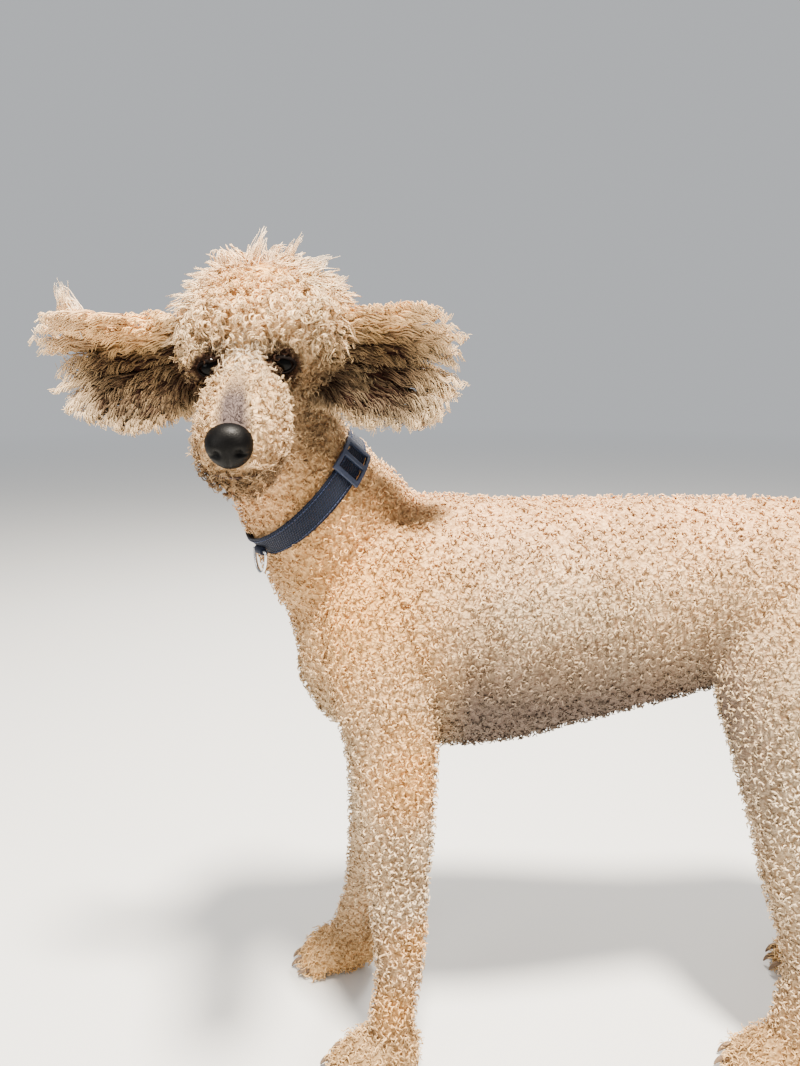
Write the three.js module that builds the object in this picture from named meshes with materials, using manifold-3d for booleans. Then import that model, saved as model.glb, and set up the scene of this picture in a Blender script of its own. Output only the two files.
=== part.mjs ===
// A standard poodle, life size, standing still with its head turned to its left.
// Millimetres, +Z up. The dog faces -X and its left side faces -Y.
// The body is lofted through named stations given at the tips of the coat. Its core lies under them, rounded
// clumps rise from the core to the tips in loops, flat locks are fused on, and thin cuts part the whole.
import * as THREE from "three";
import { mergeVertices } from "three/addons/utils/BufferGeometryUtils.js";
import Module from "manifold-3d";

const wasm = await Module();
wasm.setup();

// Driving dimensions
const CHEST_HALF_WIDTH = 97; // over the coat
const LOIN_HALF_WIDTH = 76;
const EYE_RADIUS = 10.5;
const COLLAR_WIDTH = 24;
const COLLAR_THICKNESS = 3;
const GAP = 0.3; // between touching pieces
const SEED = 7;
const CURL_RISE = 9; // from the core to the tips of the clumps, half the depth of the coat
const SKULL_RISE = 6;
const FACE_RISE = 4;
const TOPKNOT_RISE = 13;
const CLUMPS_AROUND = { torso: 9, neck: 7, tail: 5, leg: 5, skull: 6, topknot: 8, muzzle: 6 };

const at = (x, y, z) => new THREE.Vector3(x, y, z);
const SIDEWAYS = at(0, 1, 0);
const degrees = THREE.MathUtils.degToRad;

// Solids from three.js geometry, and back
function solid(geometry) {
  const bare = new THREE.BufferGeometry();
  bare.setAttribute("position", geometry.getAttribute("position"));
  bare.setIndex(geometry.index);
  const merged = mergeVertices(bare, 1e-3);
  const vertProperties = new Float32Array(merged.attributes.position.array);
  const triVerts = new Uint32Array(merged.index.array);
  const made = new wasm.Manifold(new wasm.Mesh({ numProp: 3, vertProperties, triVerts }));
  if (made.volume() > 0) return made;
  return new wasm.Manifold(new wasm.Mesh({ numProp: 3, vertProperties, triVerts: triVerts.reverse() }));
}

function geometryOf(body) {
  const mesh = body.getMesh();
  const geometry = new THREE.BufferGeometry();
  geometry.setAttribute("position", new THREE.BufferAttribute(new Float32Array(mesh.vertProperties), 3));
  geometry.setIndex(new THREE.BufferAttribute(new Uint32Array(mesh.triVerts), 1));
  return geometry;
}

THREE.MathUtils.seededRandom(SEED);
const vary = (range) => range * (2 * THREE.MathUtils.seededRandom() - 1);

const join = (pieces) => wasm.Manifold.union(pieces);
const largest = (body) => body.decompose().sort((a, b) => b.volume() - a.volume())[0];
const placed = (body, matrix) => body.transform(matrix.toArray());

// The surface through stations, each with its centre, half width across and half depth: a point on it
// from its share t of the way, its turn around the way, and its height over the surface
function surfaceOf(stations, { side = SIDEWAYS, inset = 0, lean = 0 } = {}) {
  const path = new THREE.CatmullRomCurve3(stations.map((s) => s[0]));
  const sizes = new THREE.CatmullRomCurve3(stations.map((s) => at(s[1] - inset, s[2] - inset, 0)));
  return (t, turn, height = 0) => {
    const share = THREE.MathUtils.clamp(t, 0, 1);
    const along = path.getTangent(share);
    const normal = at(0, 0, 0).crossVectors(side, along).normalize();
    const across = at(0, 0, 0).crossVectors(along, normal);
    normal.applyAxisAngle(across, degrees(lean));
    const size = sizes.getPoint(share);
    const past = (t - share) * path.getLength();
    const centre = path.getPoint(share).addScaledVector(along, past);
    if (height === -Infinity) return centre;
    centre.addScaledVector(across, (size.x + height) * Math.cos(turn));
    return centre.addScaledVector(normal, (size.y + height) * Math.sin(turn));
  };
}

// How far an end bulges past its last station, as a share of the way
function endPast(stations, end, bulge, inset = 0) {
  const length = new THREE.CatmullRomCurve3(stations.map((s) => s[0])).getLength();
  const [, across, deep] = stations.at(end === 0 ? 0 : -1);
  return (bulge * (Math.min(across, deep) - inset)) / length;
}

// A closed body inside that surface, whose ends bulge a little past the first and last station
function loft(stations, { around = 14, between = 2, bulge = 0.45, ...shape } = {}) {
  const surface = surfaceOf(stations, shape);
  const last = (stations.length - 1) * between;
  const geometry = new THREE.SphereGeometry(1, around, last + 2);
  const spots = geometry.getAttribute("position");
  for (let row = 0; row <= last + 2; row++) {
    const atPole = row === 0 || row === last + 2;
    const past = atPole ? endPast(stations, row === 0 ? 0 : 1, bulge, shape.inset) : 0;
    const t = THREE.MathUtils.clamp(row - 1, 0, last) / last + (row === 0 ? -past : past);
    for (let column = 0; column <= around; column++) {
      const turn = ((column % around) * 2 * Math.PI) / around;
      const spot = surface(t, turn, atPole ? -Infinity : 0);
      spots.setXYZ(row * (around + 1) + column, spot.x, spot.y, spot.z);
    }
  }
  return solid(geometry);
}

// Rounded clumps of curls set close over a whole body: rows of six-sided domes, each row half a clump further
// round than the last. Every clump is fused with its neighbours at its root, in the valleys between them.
const CLUMP_SHOULDER = { out: 0.62, up: 0.74 }; // shares of a clump's half size and of its rise
const ROW_STEP = 1.02; // of a clump's width
const JITTER = 0.09; // of a clump's width

// The share of the way at each row, so that clumps stay about as long as they are wide
function rowShares(stations, columns) {
  const length = new THREE.CatmullRomCurve3(stations.map((s) => s[0])).getLength();
  const sizes = new THREE.CatmullRomCurve3(stations.map((s) => at(s[1], s[2], 0)));
  const stepAt = (t) => (ROW_STEP * Math.SQRT2 * Math.PI * sizes.getPoint(t).length()) / columns / length;
  const shortest = 0.85 * stepAt(0.5);
  const shares = [];
  let end = 0;
  while (end < 1) {
    const step = Math.max(shortest, stepAt(end));
    shares.push(end + (2 / 3) * step);
    end += step;
  }
  return shares.map((share) => share / end);
}

function clumped(stations, { columns, rise = CURL_RISE, bulge = 0.45, bare = () => false, ...shape }) {
  const surface = surfaceOf(stations, { inset: rise, ...shape });
  const shares = rowShares(stations, columns);
  const shareAt = (row) => shares[row] ?? (row < 0 ? -shares[0] / 2 : (3 - shares.at(-1)) / 2);
  const width = (2 * Math.PI) / columns;
  const spots = [];
  const add = (t, turn, height) => ({ t, turn, index: spots.push(surface(t, turn, height)) - 1 });
  const valleyRows = [...shares, 1].map((_, row) => {
    const [above, below] = [shareAt(row - 1), shareAt(row)];
    const ring = (share, over) => Array.from({ length: columns }, (_, column) => {
      const shift = row === 0 || row === shares.length ? 0 : vary(JITTER);
      const turn = (column + (over & 1) / 2 + vary(JITTER)) * width;
      return add(THREE.MathUtils.lerp(above, below, share + shift), turn, 0);
    });
    return { feet: ring(2 / 3, row - 1), heads: ring(1 / 3, row) };
  });
  const faces = [];
  const pick = (ring, column) => ring[(column + columns) % columns];
  shares.forEach((share, row) => {
    const [before, after] = row & 1 ? [0, 1] : [-1, 0];
    for (let column = 0; column < columns; column++) {
      const turn = (column + (row & 1) / 2) * width;
      const { feet, heads } = valleyRows[row];
      const next = valleyRows[row + 1];
      const rim = [
        pick(heads, column),
        pick(feet, column + after),
        pick(next.heads, column + after),
        pick(next.feet, column),
        pick(next.heads, column + before),
        pick(feet, column + before),
      ];
      const height = bare(surface(share, turn)) ? 0 : rise * (1 + vary(0.16));
      const top = add(share, turn, height);
      const shoulder = rim.map((corner) => {
        const around = THREE.MathUtils.euclideanModulo(corner.turn - turn + Math.PI, 2 * Math.PI) - Math.PI;
        const { out, up } = CLUMP_SHOULDER;
        return add(share + out * (corner.t - share), turn + out * around, up * height);
      });
      rim.forEach((corner, i) => {
        const j = (i + 1) % rim.length;
        faces.push(top.index, shoulder[i].index, shoulder[j].index);
        faces.push(shoulder[i].index, corner.index, rim[j].index);
        faces.push(shoulder[i].index, rim[j].index, shoulder[j].index);
      });
    }
  });
  for (const [row, end] of [[0, 0], [shares.length, 1]]) {
    const { feet, heads } = valleyRows[row];
    const past = endPast(stations, end, bulge);
    const pole = add(end === 0 ? -past : 1 + past, 0, -Infinity).index;
    for (let column = 0; column < columns; column++) {
      const ring = [pick(feet, column + (row & 1) - 1), pick(heads, column), pick(feet, column + (row & 1))];
      const [a, b, c] = (end === 0 ? ring : ring.reverse()).map((corner) => corner.index);
      faces.push(pole, b, a, pole, c, b);
    }
  }
  const geometry = new THREE.BufferGeometry().setFromPoints(spots);
  geometry.setIndex(faces);
  return solid(geometry);
}

function ellipsoid(centre, radii, around = 14, turn = [0, 0, 0]) {
  const geometry = new THREE.SphereGeometry(1, around, Math.round(around * 0.6));
  const frame = new THREE.Matrix4().makeRotationFromEuler(new THREE.Euler(...turn.map(degrees)));
  return solid(geometry.applyMatrix4(frame.scale(at(...radii)).setPosition(centre)));
}

// A flat block with its middle at a point and its thin side along a direction
function plate(centre, direction, breadth, thickness) {
  const geometry = new THREE.BoxGeometry(breadth[0], breadth[1], thickness);
  const turn = new THREE.Quaternion().setFromUnitVectors(at(0, 0, 1), direction.clone().normalize());
  const frame = new THREE.Matrix4().makeRotationFromQuaternion(turn).setPosition(centre);
  return solid(geometry.applyMatrix4(frame));
}

// Torso: stations run from the breast to the buttock
const torsoTips = [
  [at(-314, 0, 508), 28, 34],
  [at(-298, 0, 505), 52, 68],
  [at(-274, 0, 498), 76, 102],
  [at(-240, 0, 490), 92, 126],
  [at(-190, 0, 487.5), CHEST_HALF_WIDTH, 135.5],
  [at(-120, 0, 487.5), CHEST_HALF_WIDTH, 133.5],
  [at(-40, 0, 497.5), 91, 123.5],
  [at(40, 0, 508.5), LOIN_HALF_WIDTH + 5, 113.5],
  [at(110, 0, 518), LOIN_HALF_WIDTH, 103.5],
  [at(180, 0, 525), 80, 94],
  [at(250, 0, 528), 74, 82],
  [at(292, 0, 520), 46, 58],
];

// Legs: stations run downwards from the shoulder or hip to the ankle
const foreLegTips = {
  left: [
    [at(-212, -38, 590), 28, 38],
    [at(-226, -60, 520), 36, 60],
    [at(-226, -69, 450), 38, 58],
    [at(-218, -75, 380), 38, 50],
    [at(-213, -77, 300), 34, 42],
    [at(-212, -77, 225), 30, 35],
    [at(-210, -77, 160), 28, 31],
    [at(-214, -77, 105), 26, 27],
    [at(-220, -77, 62), 28, 29],
  ],
  right: [
    [at(-212, 38, 590), 28, 38],
    [at(-226, 60, 520), 36, 60],
    [at(-228, 69, 450), 38, 58],
    [at(-232, 75, 380), 38, 50],
    [at(-236, 78, 300), 34, 42],
    [at(-242, 80, 225), 30, 34],
    [at(-248, 82, 155), 28, 31],
    [at(-259, 83, 100), 26, 27],
    [at(-270, 84, 60), 28, 29],
  ],
};
const hindLegTips = {
  left: [
    [at(212, -46, 540), 38, 74],
    [at(184, -58, 450), 46, 88],
    [at(181, -68, 370), 46, 64],
    [at(188, -72, 305), 40, 51],
    [at(198, -74, 240), 35, 43],
    [at(212, -76, 180), 31, 37],
    [at(216, -77, 130), 27, 30],
    [at(208, -77, 60), 28, 29],
  ],
  right: [
    [at(226, 46, 540), 38, 74],
    [at(218, 58, 450), 46, 84],
    [at(218, 68, 370), 46, 62],
    [at(232, 72, 305), 40, 50],
    [at(258, 74, 240), 35, 43],
    [at(292, 76, 180), 31, 38],
    [at(320, 77, 126), 27, 31],
    [at(330, 77, 60), 28, 29],
  ],
};

// Paws: a rounded wedge that reaches forward of the ankle, with four toes
const PAW_HALF_WIDTH = 34;

function paw(ankle) {
  const wedge = loft([
    [at(ankle.x + 24, ankle.y, 28), 22, 26],
    [at(ankle.x + 4, ankle.y, 32), 29, 36],
    [at(ankle.x - 20, ankle.y, 26), PAW_HALF_WIDTH, 30],
    [at(ankle.x - 42, ankle.y, 19), PAW_HALF_WIDTH - 2, 22],
    [at(ankle.x - 56, ankle.y, 16), 22, 14],
  ], { around: 8, between: 1 });
  const toes = [-1.5, -0.5, 0.5, 1.5].map((place) => {
    const reach = Math.abs(place) < 1 ? 52 : 42;
    return ellipsoid(at(ankle.x - reach, ankle.y + place * 15, 14), [19, 11, 18], 5);
  });
  return [wedge, ...toes];
}

function claws(ankle, grow = 0) {
  return [-1.5, -0.5, 0.5, 1.5].map((place) => {
    const reach = Math.abs(place) < 1 ? 64 : 54;
    const y = ankle.y + place * 16;
    return loft([
      [at(ankle.x - reach, y, 12.5), 3 + grow, 4 + grow],
      [at(ankle.x - reach - 12, y, 6.5), 1.6 + grow, 2 + grow],
    ], { around: 4, between: 1 });
  });
}

// Neck: from between the shoulders up to the skull
const neckTips = [
  [at(-205, 0, 508), 60, 92],
  [at(-262, -3, 562), 68, 95],
  [at(-293, -16, 610), 67, 81],
  [at(-318, -36, 661), 62, 69],
  [at(-334, -58, 712), 56, 60],
  [at(-340, -74, 756), 44, 46],
];
const NECK_LEAN = -13; // degrees that its cross sections lean back from its path

// Head frame: x runs to the dog's right, y forward to the nose, z up; its origin is midway between the eyes
const EYES_MIDDLE = at(-332.5, -138, 750);
const HEAD_TURN = 183; // degrees from facing +Y
const HEAD_PITCH = -12;
const HEAD_ROLL = 3;
const headFrame = new THREE.Matrix4()
  .makeRotationZ(degrees(HEAD_TURN))
  .multiply(new THREE.Matrix4().makeRotationX(degrees(HEAD_PITCH)))
  .multiply(new THREE.Matrix4().makeRotationY(degrees(HEAD_ROLL)))
  .setPosition(EYES_MIDDLE);
const onHead = (body) => placed(body, headFrame);
const onHeadPoint = (p) => p.applyMatrix4(headFrame);
const ACROSS_HEAD = at(1, 0, 0);

const skullTips = [
  [at(-4, -118, 6), 36, 34],
  [at(-6, -94, 10), 62, 58],
  [at(-7, -58, 12), 75, 68],
  [at(-5, -26, 8), 69, 60],
  [at(-2, -4, 2), 54, 47],
];
const topknotTips = [
  [at(-14, -106, 24), 38, 26],
  [at(-14, -84, 28), 66, 44],
  [at(-13, -50, 30), 82, 54],
  [at(-11, -16, 29), 72, 46],
  [at(-8, 4, 26), 48, 30],
];
const muzzleTips = [
  [at(-4, -34, -26), 52, 46],
  [at(-1, 2, -22), 34, 40],
  [at(0, 36, -28), 34, 38],
  [at(1, 68, -38), 37, 41],
  [at(2, 92, -47), 34, 37],
  [at(2, 103, -50), 24, 27],
];
const NOSE_MIDDLE = at(3, 106, -34);
const NOSTRIL = [3.6, 7, 4.6]; // its half sizes
const NOSTRIL_SPACING = 16;

function nose(grow = 0) {
  const pad = ellipsoid(NOSE_MIDDLE, [18 + grow, 13 + grow, 17 + grow], 11);
  if (grow > 0) return onHead(pad);
  const nostrils = [-1, 1].map((s) => {
    return ellipsoid(at(NOSE_MIDDLE.x + s * NOSTRIL_SPACING / 2, 118, -35), NOSTRIL, 6, [0, s * 25, 0]);
  });
  return onHead(pad.subtract(join(nostrils)));
}

const EYE_HALF_SPACING = 29;
const EYE_FORWARD = 7;
const eyeSpot = (s) => at(s * EYE_HALF_SPACING, EYE_FORWARD, 0);
const eye = (s, grow = 0) => onHead(ellipsoid(eyeSpot(s), Array(3).fill(EYE_RADIUS + grow), 12));

// Ears, blown out sideways: a cupped flap out to the tips of its hair
const earTips = {
  left: [
    [at(-54, -44, -2), 38, 15],
    [at(-84, -48, -11), 48, 15],
    [at(-118, -52, -15), 53, 14],
    [at(-152, -54, -13), 48, 12],
    [at(-176, -54, -10), 28, 7],
  ],
  right: [
    [at(50, -44, 0), 36, 15],
    [at(80, -48, -7), 46, 15],
    [at(118, -52, -8), 47, 14],
    [at(154, -54, 3), 42, 12],
    [at(178, -54, 16), 27, 7],
  ],
};

// A lock of long hair: a flat tapered body along a bent line from its root to its tip
function lock(points, width, thickness, side) {
  const shares = [0.75, 1, 0.8, 0.3];
  const path = new THREE.CatmullRomCurve3(points);
  const stations = shares.map((share, i) => [path.getPoint(i / 3), share * width, share * thickness]);
  return loft(stations, { around: 4, between: 1, side, bulge: 1.2 });
}

// A spot on an ear: u runs from its root to its far edge, v from its lower edge to its upper one
function earSpot(side, u, v, forward = 0) {
  const centres = new THREE.CatmullRomCurve3(earTips[side].map((s) => s[0]));
  const sizes = new THREE.CatmullRomCurve3(earTips[side].map((s) => at(s[1], s[2], 0)));
  const spot = centres.getPoint(u);
  const size = sizes.getPoint(u);
  const cup = EAR_CUP * v * v;
  return spot.add(at(0, cup + forward, v * size.x));
}

const EAR_CUP = 14; // how far the upper and lower edges stand forward of the middle
const EAR_ROWS = [[0.04, 3], [0.32, 4], [0.62, 5]]; // how far out each row is rooted, and its locks
const EAR_LOCK = [19, 5]; // half width and half thickness
const EAR_ROOT = 0.86; // how near its own height a lock is rooted, so that every root lies in the flap
const EAR_FAN = 0.48; // how far the locks part towards their tips

function ear(side) {
  const halfHeight = (u) => earSpot(side, u, 1).z - earSpot(side, u, 0).z;
  const sheet = (shares, share, forward, thickness) => loft(
    shares.map((u) => [earSpot(side, u, 0, forward), share * halfHeight(u), thickness]),
    { around: 9, between: 1, side: at(0, 0, 1) },
  );
  const flap = sheet([0, 0.25, 0.5, 0.75], 0.72, 0, 9);
  const cup = sheet([0.05, 0.25, 0.5, 0.78], 0.62, 11, 10);
  const locks = [];
  EAR_ROWS.forEach(([u, count], row) => {
    for (let i = 0; i < count; i++) {
      const v = THREE.MathUtils.lerp(-0.64, 0.64, i / (count - 1)) + vary(0.06);
      const face = (i + row) % 2 === 0 ? 3 : -4;
      const reach = u + 0.36 + vary(0.04);
      const wave = vary(5);
      const spots = [0, 0.36, 0.7, 1].map((t) => {
        const out = u + t * (Math.min(reach, 0.97) - u);
        return earSpot(side, out, v * (EAR_ROOT + EAR_FAN * t), face * (1 - t) + wave * Math.sin(t * 5));
      });
      locks.push(lock(spots, EAR_LOCK[0] + vary(2), EAR_LOCK[1], at(0, 0.15, 1)));
    }
  });
  return onHead(largest(join([flap.subtract(cup), ...locks]).intersect(earRoom(side))));
}

// The room that an ear grows out into from its root: a cone that the head is cut back from
function earRoom(side, grow = 0) {
  const s = side === "right" ? 1 : -1;
  const height = 190;
  const cone = new THREE.CylinderGeometry(160 + grow, 40 + grow, height, 12);
  cone.rotateZ(-s * Math.PI / 2).translate(s * (56 - grow + height / 2), -46, 0);
  return solid(cone);
}

const LID_THICKNESS = 2.6;
const EYE_OPENING = [9.5, 5.5]; // half width and half height between the lids

// The rim of both lids: a ball around the eye, opened at the front by an almond
function lids(s) {
  const ball = ellipsoid(eyeSpot(s), Array(3).fill(EYE_RADIUS + LID_THICKNESS), 10);
  const [half, height] = EYE_OPENING;
  const almond = new THREE.Shape();
  almond.moveTo(-half, 0).quadraticCurveTo(0, 2 * height, half, 0).quadraticCurveTo(0, -2 * height, -half, 0);
  const cut = new THREE.ExtrudeGeometry(almond, { depth: 30, bevelEnabled: false, curveSegments: 5 });
  cut.rotateX(-Math.PI / 2).rotateY(degrees(-s * 8));
  return { ball, opening: solid(cut.translate(s * EYE_HALF_SPACING, EYE_FORWARD, 0)) };
}

// The line of the mouth runs round the front of the muzzle between the lips
const MOUTH_MIDDLE = at(2, 72, -60);
const MOUTH_SLOPE = 12; // degrees
const MOUTH_HALF_OPENING = 1.3;
const MOUTH_DEPTH = 9;

function mouthLine() {
  const up = at(0, 0, 1).applyAxisAngle(ACROSS_HEAD, degrees(-MOUTH_SLOPE));
  const sheet = plate(MOUTH_MIDDLE, up, [110, 76], 2 * MOUTH_HALF_OPENING);
  return sheet.subtract(loft(muzzleTips, { around: 12, side: ACROSS_HEAD, inset: MOUTH_DEPTH }));
}

// The face is bare of clumps at the eyes, the bridge of the nose, the nose and the lips
function isBare(spot) {
  const nearEye = [-1, 1].some((s) => spot.distanceTo(eyeSpot(s).setY(EYE_FORWARD + 6)) < 19);
  const onBridge = Math.abs(spot.x) < 12 && spot.y > 16 && spot.z > -24;
  const nearLips = spot.y > 62 && spot.z < -22;
  return nearEye || onBridge || nearLips || spot.distanceTo(NOSE_MIDDLE) < 26;
}

// Locks that stand up at the back of the topknot, blown to one side
const WISP_COUNT = 7;
const WISP_SIZE = [10, 4]; // half width and half thickness
const WISP_HEIGHT = 25;

function wisps() {
  const made = [];
  for (let i = 0; i < WISP_COUNT; i++) {
    const share = i / (WISP_COUNT - 1);
    const root = at(14 - 70 * share, -62 + vary(12), 62 - 14 * share * share);
    const tip = root.clone().add(at(-8 - 16 * share, vary(8), WISP_HEIGHT - 10 * share + vary(5)));
    const bend = root.clone().lerp(tip, 0.55).add(at(8, vary(4), 3));
    made.push(lock([root, bend, tip], ...WISP_SIZE, at(1, vary(0.5), 0.2)));
  }
  return made;
}

// Skull, topknot and muzzle with their clumps, the pads of the upper lips, the chin and the lids
function head() {
  const shape = { side: ACROSS_HEAD };
  const lips = [-1, 1].map((s) => ellipsoid(at(2 + s * 15, 88, -47), [17, 18, 14], 7));
  const chin = ellipsoid(at(2, 82, -72), [21, 21, 10], 7);
  const eyelids = [-1, 1].map(lids);
  const whole = join([
    clumped(skullTips, { columns: CLUMPS_AROUND.skull, rise: SKULL_RISE, bare: isBare, ...shape }),
    clumped(topknotTips, { columns: CLUMPS_AROUND.topknot, rise: TOPKNOT_RISE, ...shape }),
    clumped(muzzleTips, { columns: CLUMPS_AROUND.muzzle, rise: FACE_RISE, bare: isBare, ...shape }),
    ...lips,
    chin,
    ...wisps(),
    ...eyelids.map(({ ball }) => ball),
  ]);
  return onHead(whole.subtract(join([mouthLine(), ...eyelids.map(({ opening }) => opening)])));
}

const tailTips = [
  [at(238, 0, 560), 26, 26],
  [at(276, 0, 606), 24, 24],
  [at(306, 0, 655), 32, 32],
  [at(326, 0, 705), 39, 39],
  [at(334, 0, 752), 35, 35],
  [at(334, 0, 780), 18, 18],
];

// Collar: a band that presses the coat in, square to the neck
const COLLAR_MIDDLE = at(-303, -27, 630);
const COLLAR_AXIS = at(-40, -20, 40).normalize();
const COLLAR_HALF_WIDTHS = [60, 70];
const collarFrame = (() => {
  const across = at(0, 0, 0).crossVectors(SIDEWAYS, COLLAR_AXIS).normalize();
  const side = at(0, 0, 0).crossVectors(COLLAR_AXIS, across);
  return new THREE.Matrix4().makeBasis(side, across, COLLAR_AXIS).setPosition(COLLAR_MIDDLE);
})();

function collarDisc(grow, height) {
  const disc = new THREE.CylinderGeometry(1, 1, height, 28).rotateX(Math.PI / 2);
  disc.scale(COLLAR_HALF_WIDTHS[0] + grow, COLLAR_HALF_WIDTHS[1] + grow, 1);
  return placed(solid(disc), collarFrame);
}

function collarGroove() {
  return collarDisc(60, COLLAR_WIDTH + 2 * GAP).subtract(collarDisc(-GAP, COLLAR_WIDTH + 2));
}

// A place on the outside of the band, turned by degrees from the far side over the nape, with z outwards
function onCollar(turn, lift = 0) {
  const angle = degrees(turn);
  const [wide, deep] = COLLAR_HALF_WIDTHS.map((half) => half + COLLAR_THICKNESS);
  const out = at(Math.cos(angle) / wide, Math.sin(angle) / deep, 0).normalize();
  const spot = at(wide * Math.cos(angle), deep * Math.sin(angle), 0).addScaledVector(out, lift);
  const along = at(0, 0, 0).crossVectors(at(0, 0, 1), out);
  const frame = new THREE.Matrix4().makeBasis(along, at(0, 0, 1), out).setPosition(spot);
  return collarFrame.clone().multiply(frame);
}

function roundedPlate(length, width, height, corner) {
  const outline = new THREE.Shape();
  const [x, y] = [length / 2 - corner, width / 2 - corner];
  outline.absarc(x, y, corner, 0, Math.PI / 2).absarc(-x, y, corner, Math.PI / 2, Math.PI);
  outline.absarc(-x, -y, corner, Math.PI, 1.5 * Math.PI).absarc(x, -y, corner, 1.5 * Math.PI, 2 * Math.PI);
  const bevel = height / 4;
  return solid(new THREE.ExtrudeGeometry(outline, {
    depth: height - bevel,
    bevelSize: bevel,
    bevelThickness: bevel,
    bevelOffset: -bevel,
    bevelSegments: 1,
    curveSegments: 3,
  }));
}

// The buckle lies over the band on the near side of the nape, and grips both of the band's edges
const BUCKLE_TURN = 128;
const BUCKLE_SIZE = [38, COLLAR_WIDTH + 7, 8];

function collarBuckle(grow = 0) {
  const [length, width, height] = BUCKLE_SIZE.map((side) => side + 2 * grow);
  const block = roundedPlate(length, width, height, 5).translate([0, 0, -height / 2]);
  const bed = collarDisc(COLLAR_THICKNESS + GAP, COLLAR_WIDTH + 2 * GAP);
  return grow > 0 ? placed(block, onCollar(BUCKLE_TURN)) : placed(block, onCollar(BUCKLE_TURN)).subtract(bed);
}

// At the throat a loop of webbing on the band holds a D-shaped ring of wire, which hangs straight down
const RING_TURN = 243;
const RING_WIRE = 1.6;
const RING_SIZE = [25, 22];
const TAB_SIZE = [15, 8, 6];
const ringFrame = (() => {
  const place = onCollar(RING_TURN, TAB_SIZE[2] / 2);
  const along = at(0, 0, 0).setFromMatrixColumn(place, 0).setZ(0).normalize();
  const out = at(0, 0, 0).crossVectors(along, at(0, 0, 1));
  const hinge = at(0, 0, 0).setFromMatrixPosition(place);
  return new THREE.Matrix4().makeBasis(along, at(0, 0, 1), out).setPosition(hinge);
})();

function ring(grow = 0) {
  const [width, reach] = RING_SIZE;
  const half = width / 2;
  const spots = [at(-half, 0, 0), at(-half / 2, 0, 0), at(half / 2, 0, 0), at(half, 0, 0)];
  for (const turn of [20, 55, 90, 125, 160]) {
    spots.push(at(half * Math.cos(degrees(turn)), -reach * Math.sin(degrees(turn)), 0));
  }
  const path = new THREE.CatmullRomCurve3(spots, true, "centripetal");
  return placed(solid(new THREE.TubeGeometry(path, 20, RING_WIRE + grow, 6, true)), ringFrame);
}

// Room in the coat for the ring to hang clear
function ringRoom() {
  const [width, reach] = RING_SIZE.map((side) => side + 10);
  const room = new THREE.BoxGeometry(width, reach + 6, 24).translate(0, -reach / 2 + 2, 0);
  return placed(solid(room), ringFrame);
}

function tab(grow = 0) {
  const block = new THREE.BoxGeometry(...TAB_SIZE.map((side) => side + 2 * grow));
  return placed(solid(block.translate(0, -1, 0)), ringFrame);
}

function collarBand() {
  const band = collarDisc(COLLAR_THICKNESS, COLLAR_WIDTH).subtract(collarDisc(0, COLLAR_WIDTH + 2));
  return join([band, tab().subtract(collarDisc(1, COLLAR_WIDTH + 40))]).subtract(ring(GAP));
}

// The whole dog in one body
function body() {
  const legs = [...Object.values(foreLegTips), ...Object.values(hindLegTips)];
  return join([
    clumped(torsoTips, { columns: CLUMPS_AROUND.torso }),
    clumped(neckTips, { columns: CLUMPS_AROUND.neck, lean: NECK_LEAN }),
    head(),
    clumped(tailTips, { columns: CLUMPS_AROUND.tail }),
    ...legs.map((leg) => clumped(leg, { columns: CLUMPS_AROUND.leg })),
    ...legs.flatMap((leg) => paw(leg.at(-1)[0])),
  ]);
}

// Where the whole is parted: the middle of each cut, the direction across it, and its breadth
const NECK_CUT = [at(-262, -6, 585), at(-40, -10, 40), [300, 300]];
const HEAD_CUT = [at(-327, -51, 695), at(-22, -20, 54), [190, 190]];
const CHEST_CUT = [at(-140, 0, 490), at(1, 0, 0), [320, 300]];
const LOIN_CUT = [at(84, 0, 515), at(1, 0, 0), [300, 300]];
const TAIL_CUT = [at(270, 0, 604), at(20, 0, 60), [90, 120]];
const level = (spot, height, breadth) => [at(spot.x, spot.y, height), at(0, 0, 1), breadth];
const LEG_TOP = 350;
const THIGH_TOP = 405;
const KNEE = 305;
const HOCK = 165;
const ANKLE = 66;

function cuts() {
  const places = [NECK_CUT, HEAD_CUT, CHEST_CUT, LOIN_CUT, TAIL_CUT];
  for (const stations of Object.values(foreLegTips)) {
    places.push(level(stations[3][0], LEG_TOP, [150, 116]), level(stations.at(-1)[0], ANKLE, [110, 110]));
  }
  for (const stations of Object.values(hindLegTips)) {
    places.push(level(at(200, stations[2][0].y, 0), THIGH_TOP, [270, 120]));
    places.push(level(stations[3][0], KNEE, [170, 120]), level(stations[5][0], HOCK, [120, 110]));
    places.push(level(stations.at(-1)[0], ANKLE, [110, 110]));
  }
  return join(places.map(([centre, direction, breadth]) => plate(centre, direction, breadth, GAP)));
}

// A point well inside each named piece of the parted body
function nodeSpots() {
  const spots = {
    torso_chest: at(-200, 0, 500),
    torso_loin: at(-40, 0, 500),
    torso_rump: at(180, 0, 530),
    neck: at(-300, -24, 628),
    head: onHeadPoint(at(0, -50, 10)),
    tail: at(335, 0, 690),
  };
  for (const side of ["left", "right"]) {
    const fore = foreLegTips[side].map((s) => s[0]);
    const hind = hindLegTips[side].map((s) => s[0]);
    spots["foreleg_" + side] = fore[5];
    spots["forepaw_" + side] = at(fore.at(-1).x - 15, fore.at(-1).y, 25);
    spots["thigh_" + side] = hind[2];
    spots["shank_" + side] = hind[4];
    spots["hock_" + side] = hind[6];
    spots["hindpaw_" + side] = at(hind.at(-1).x - 15, hind.at(-1).y, 25);
  }
  return spots;
}

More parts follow.
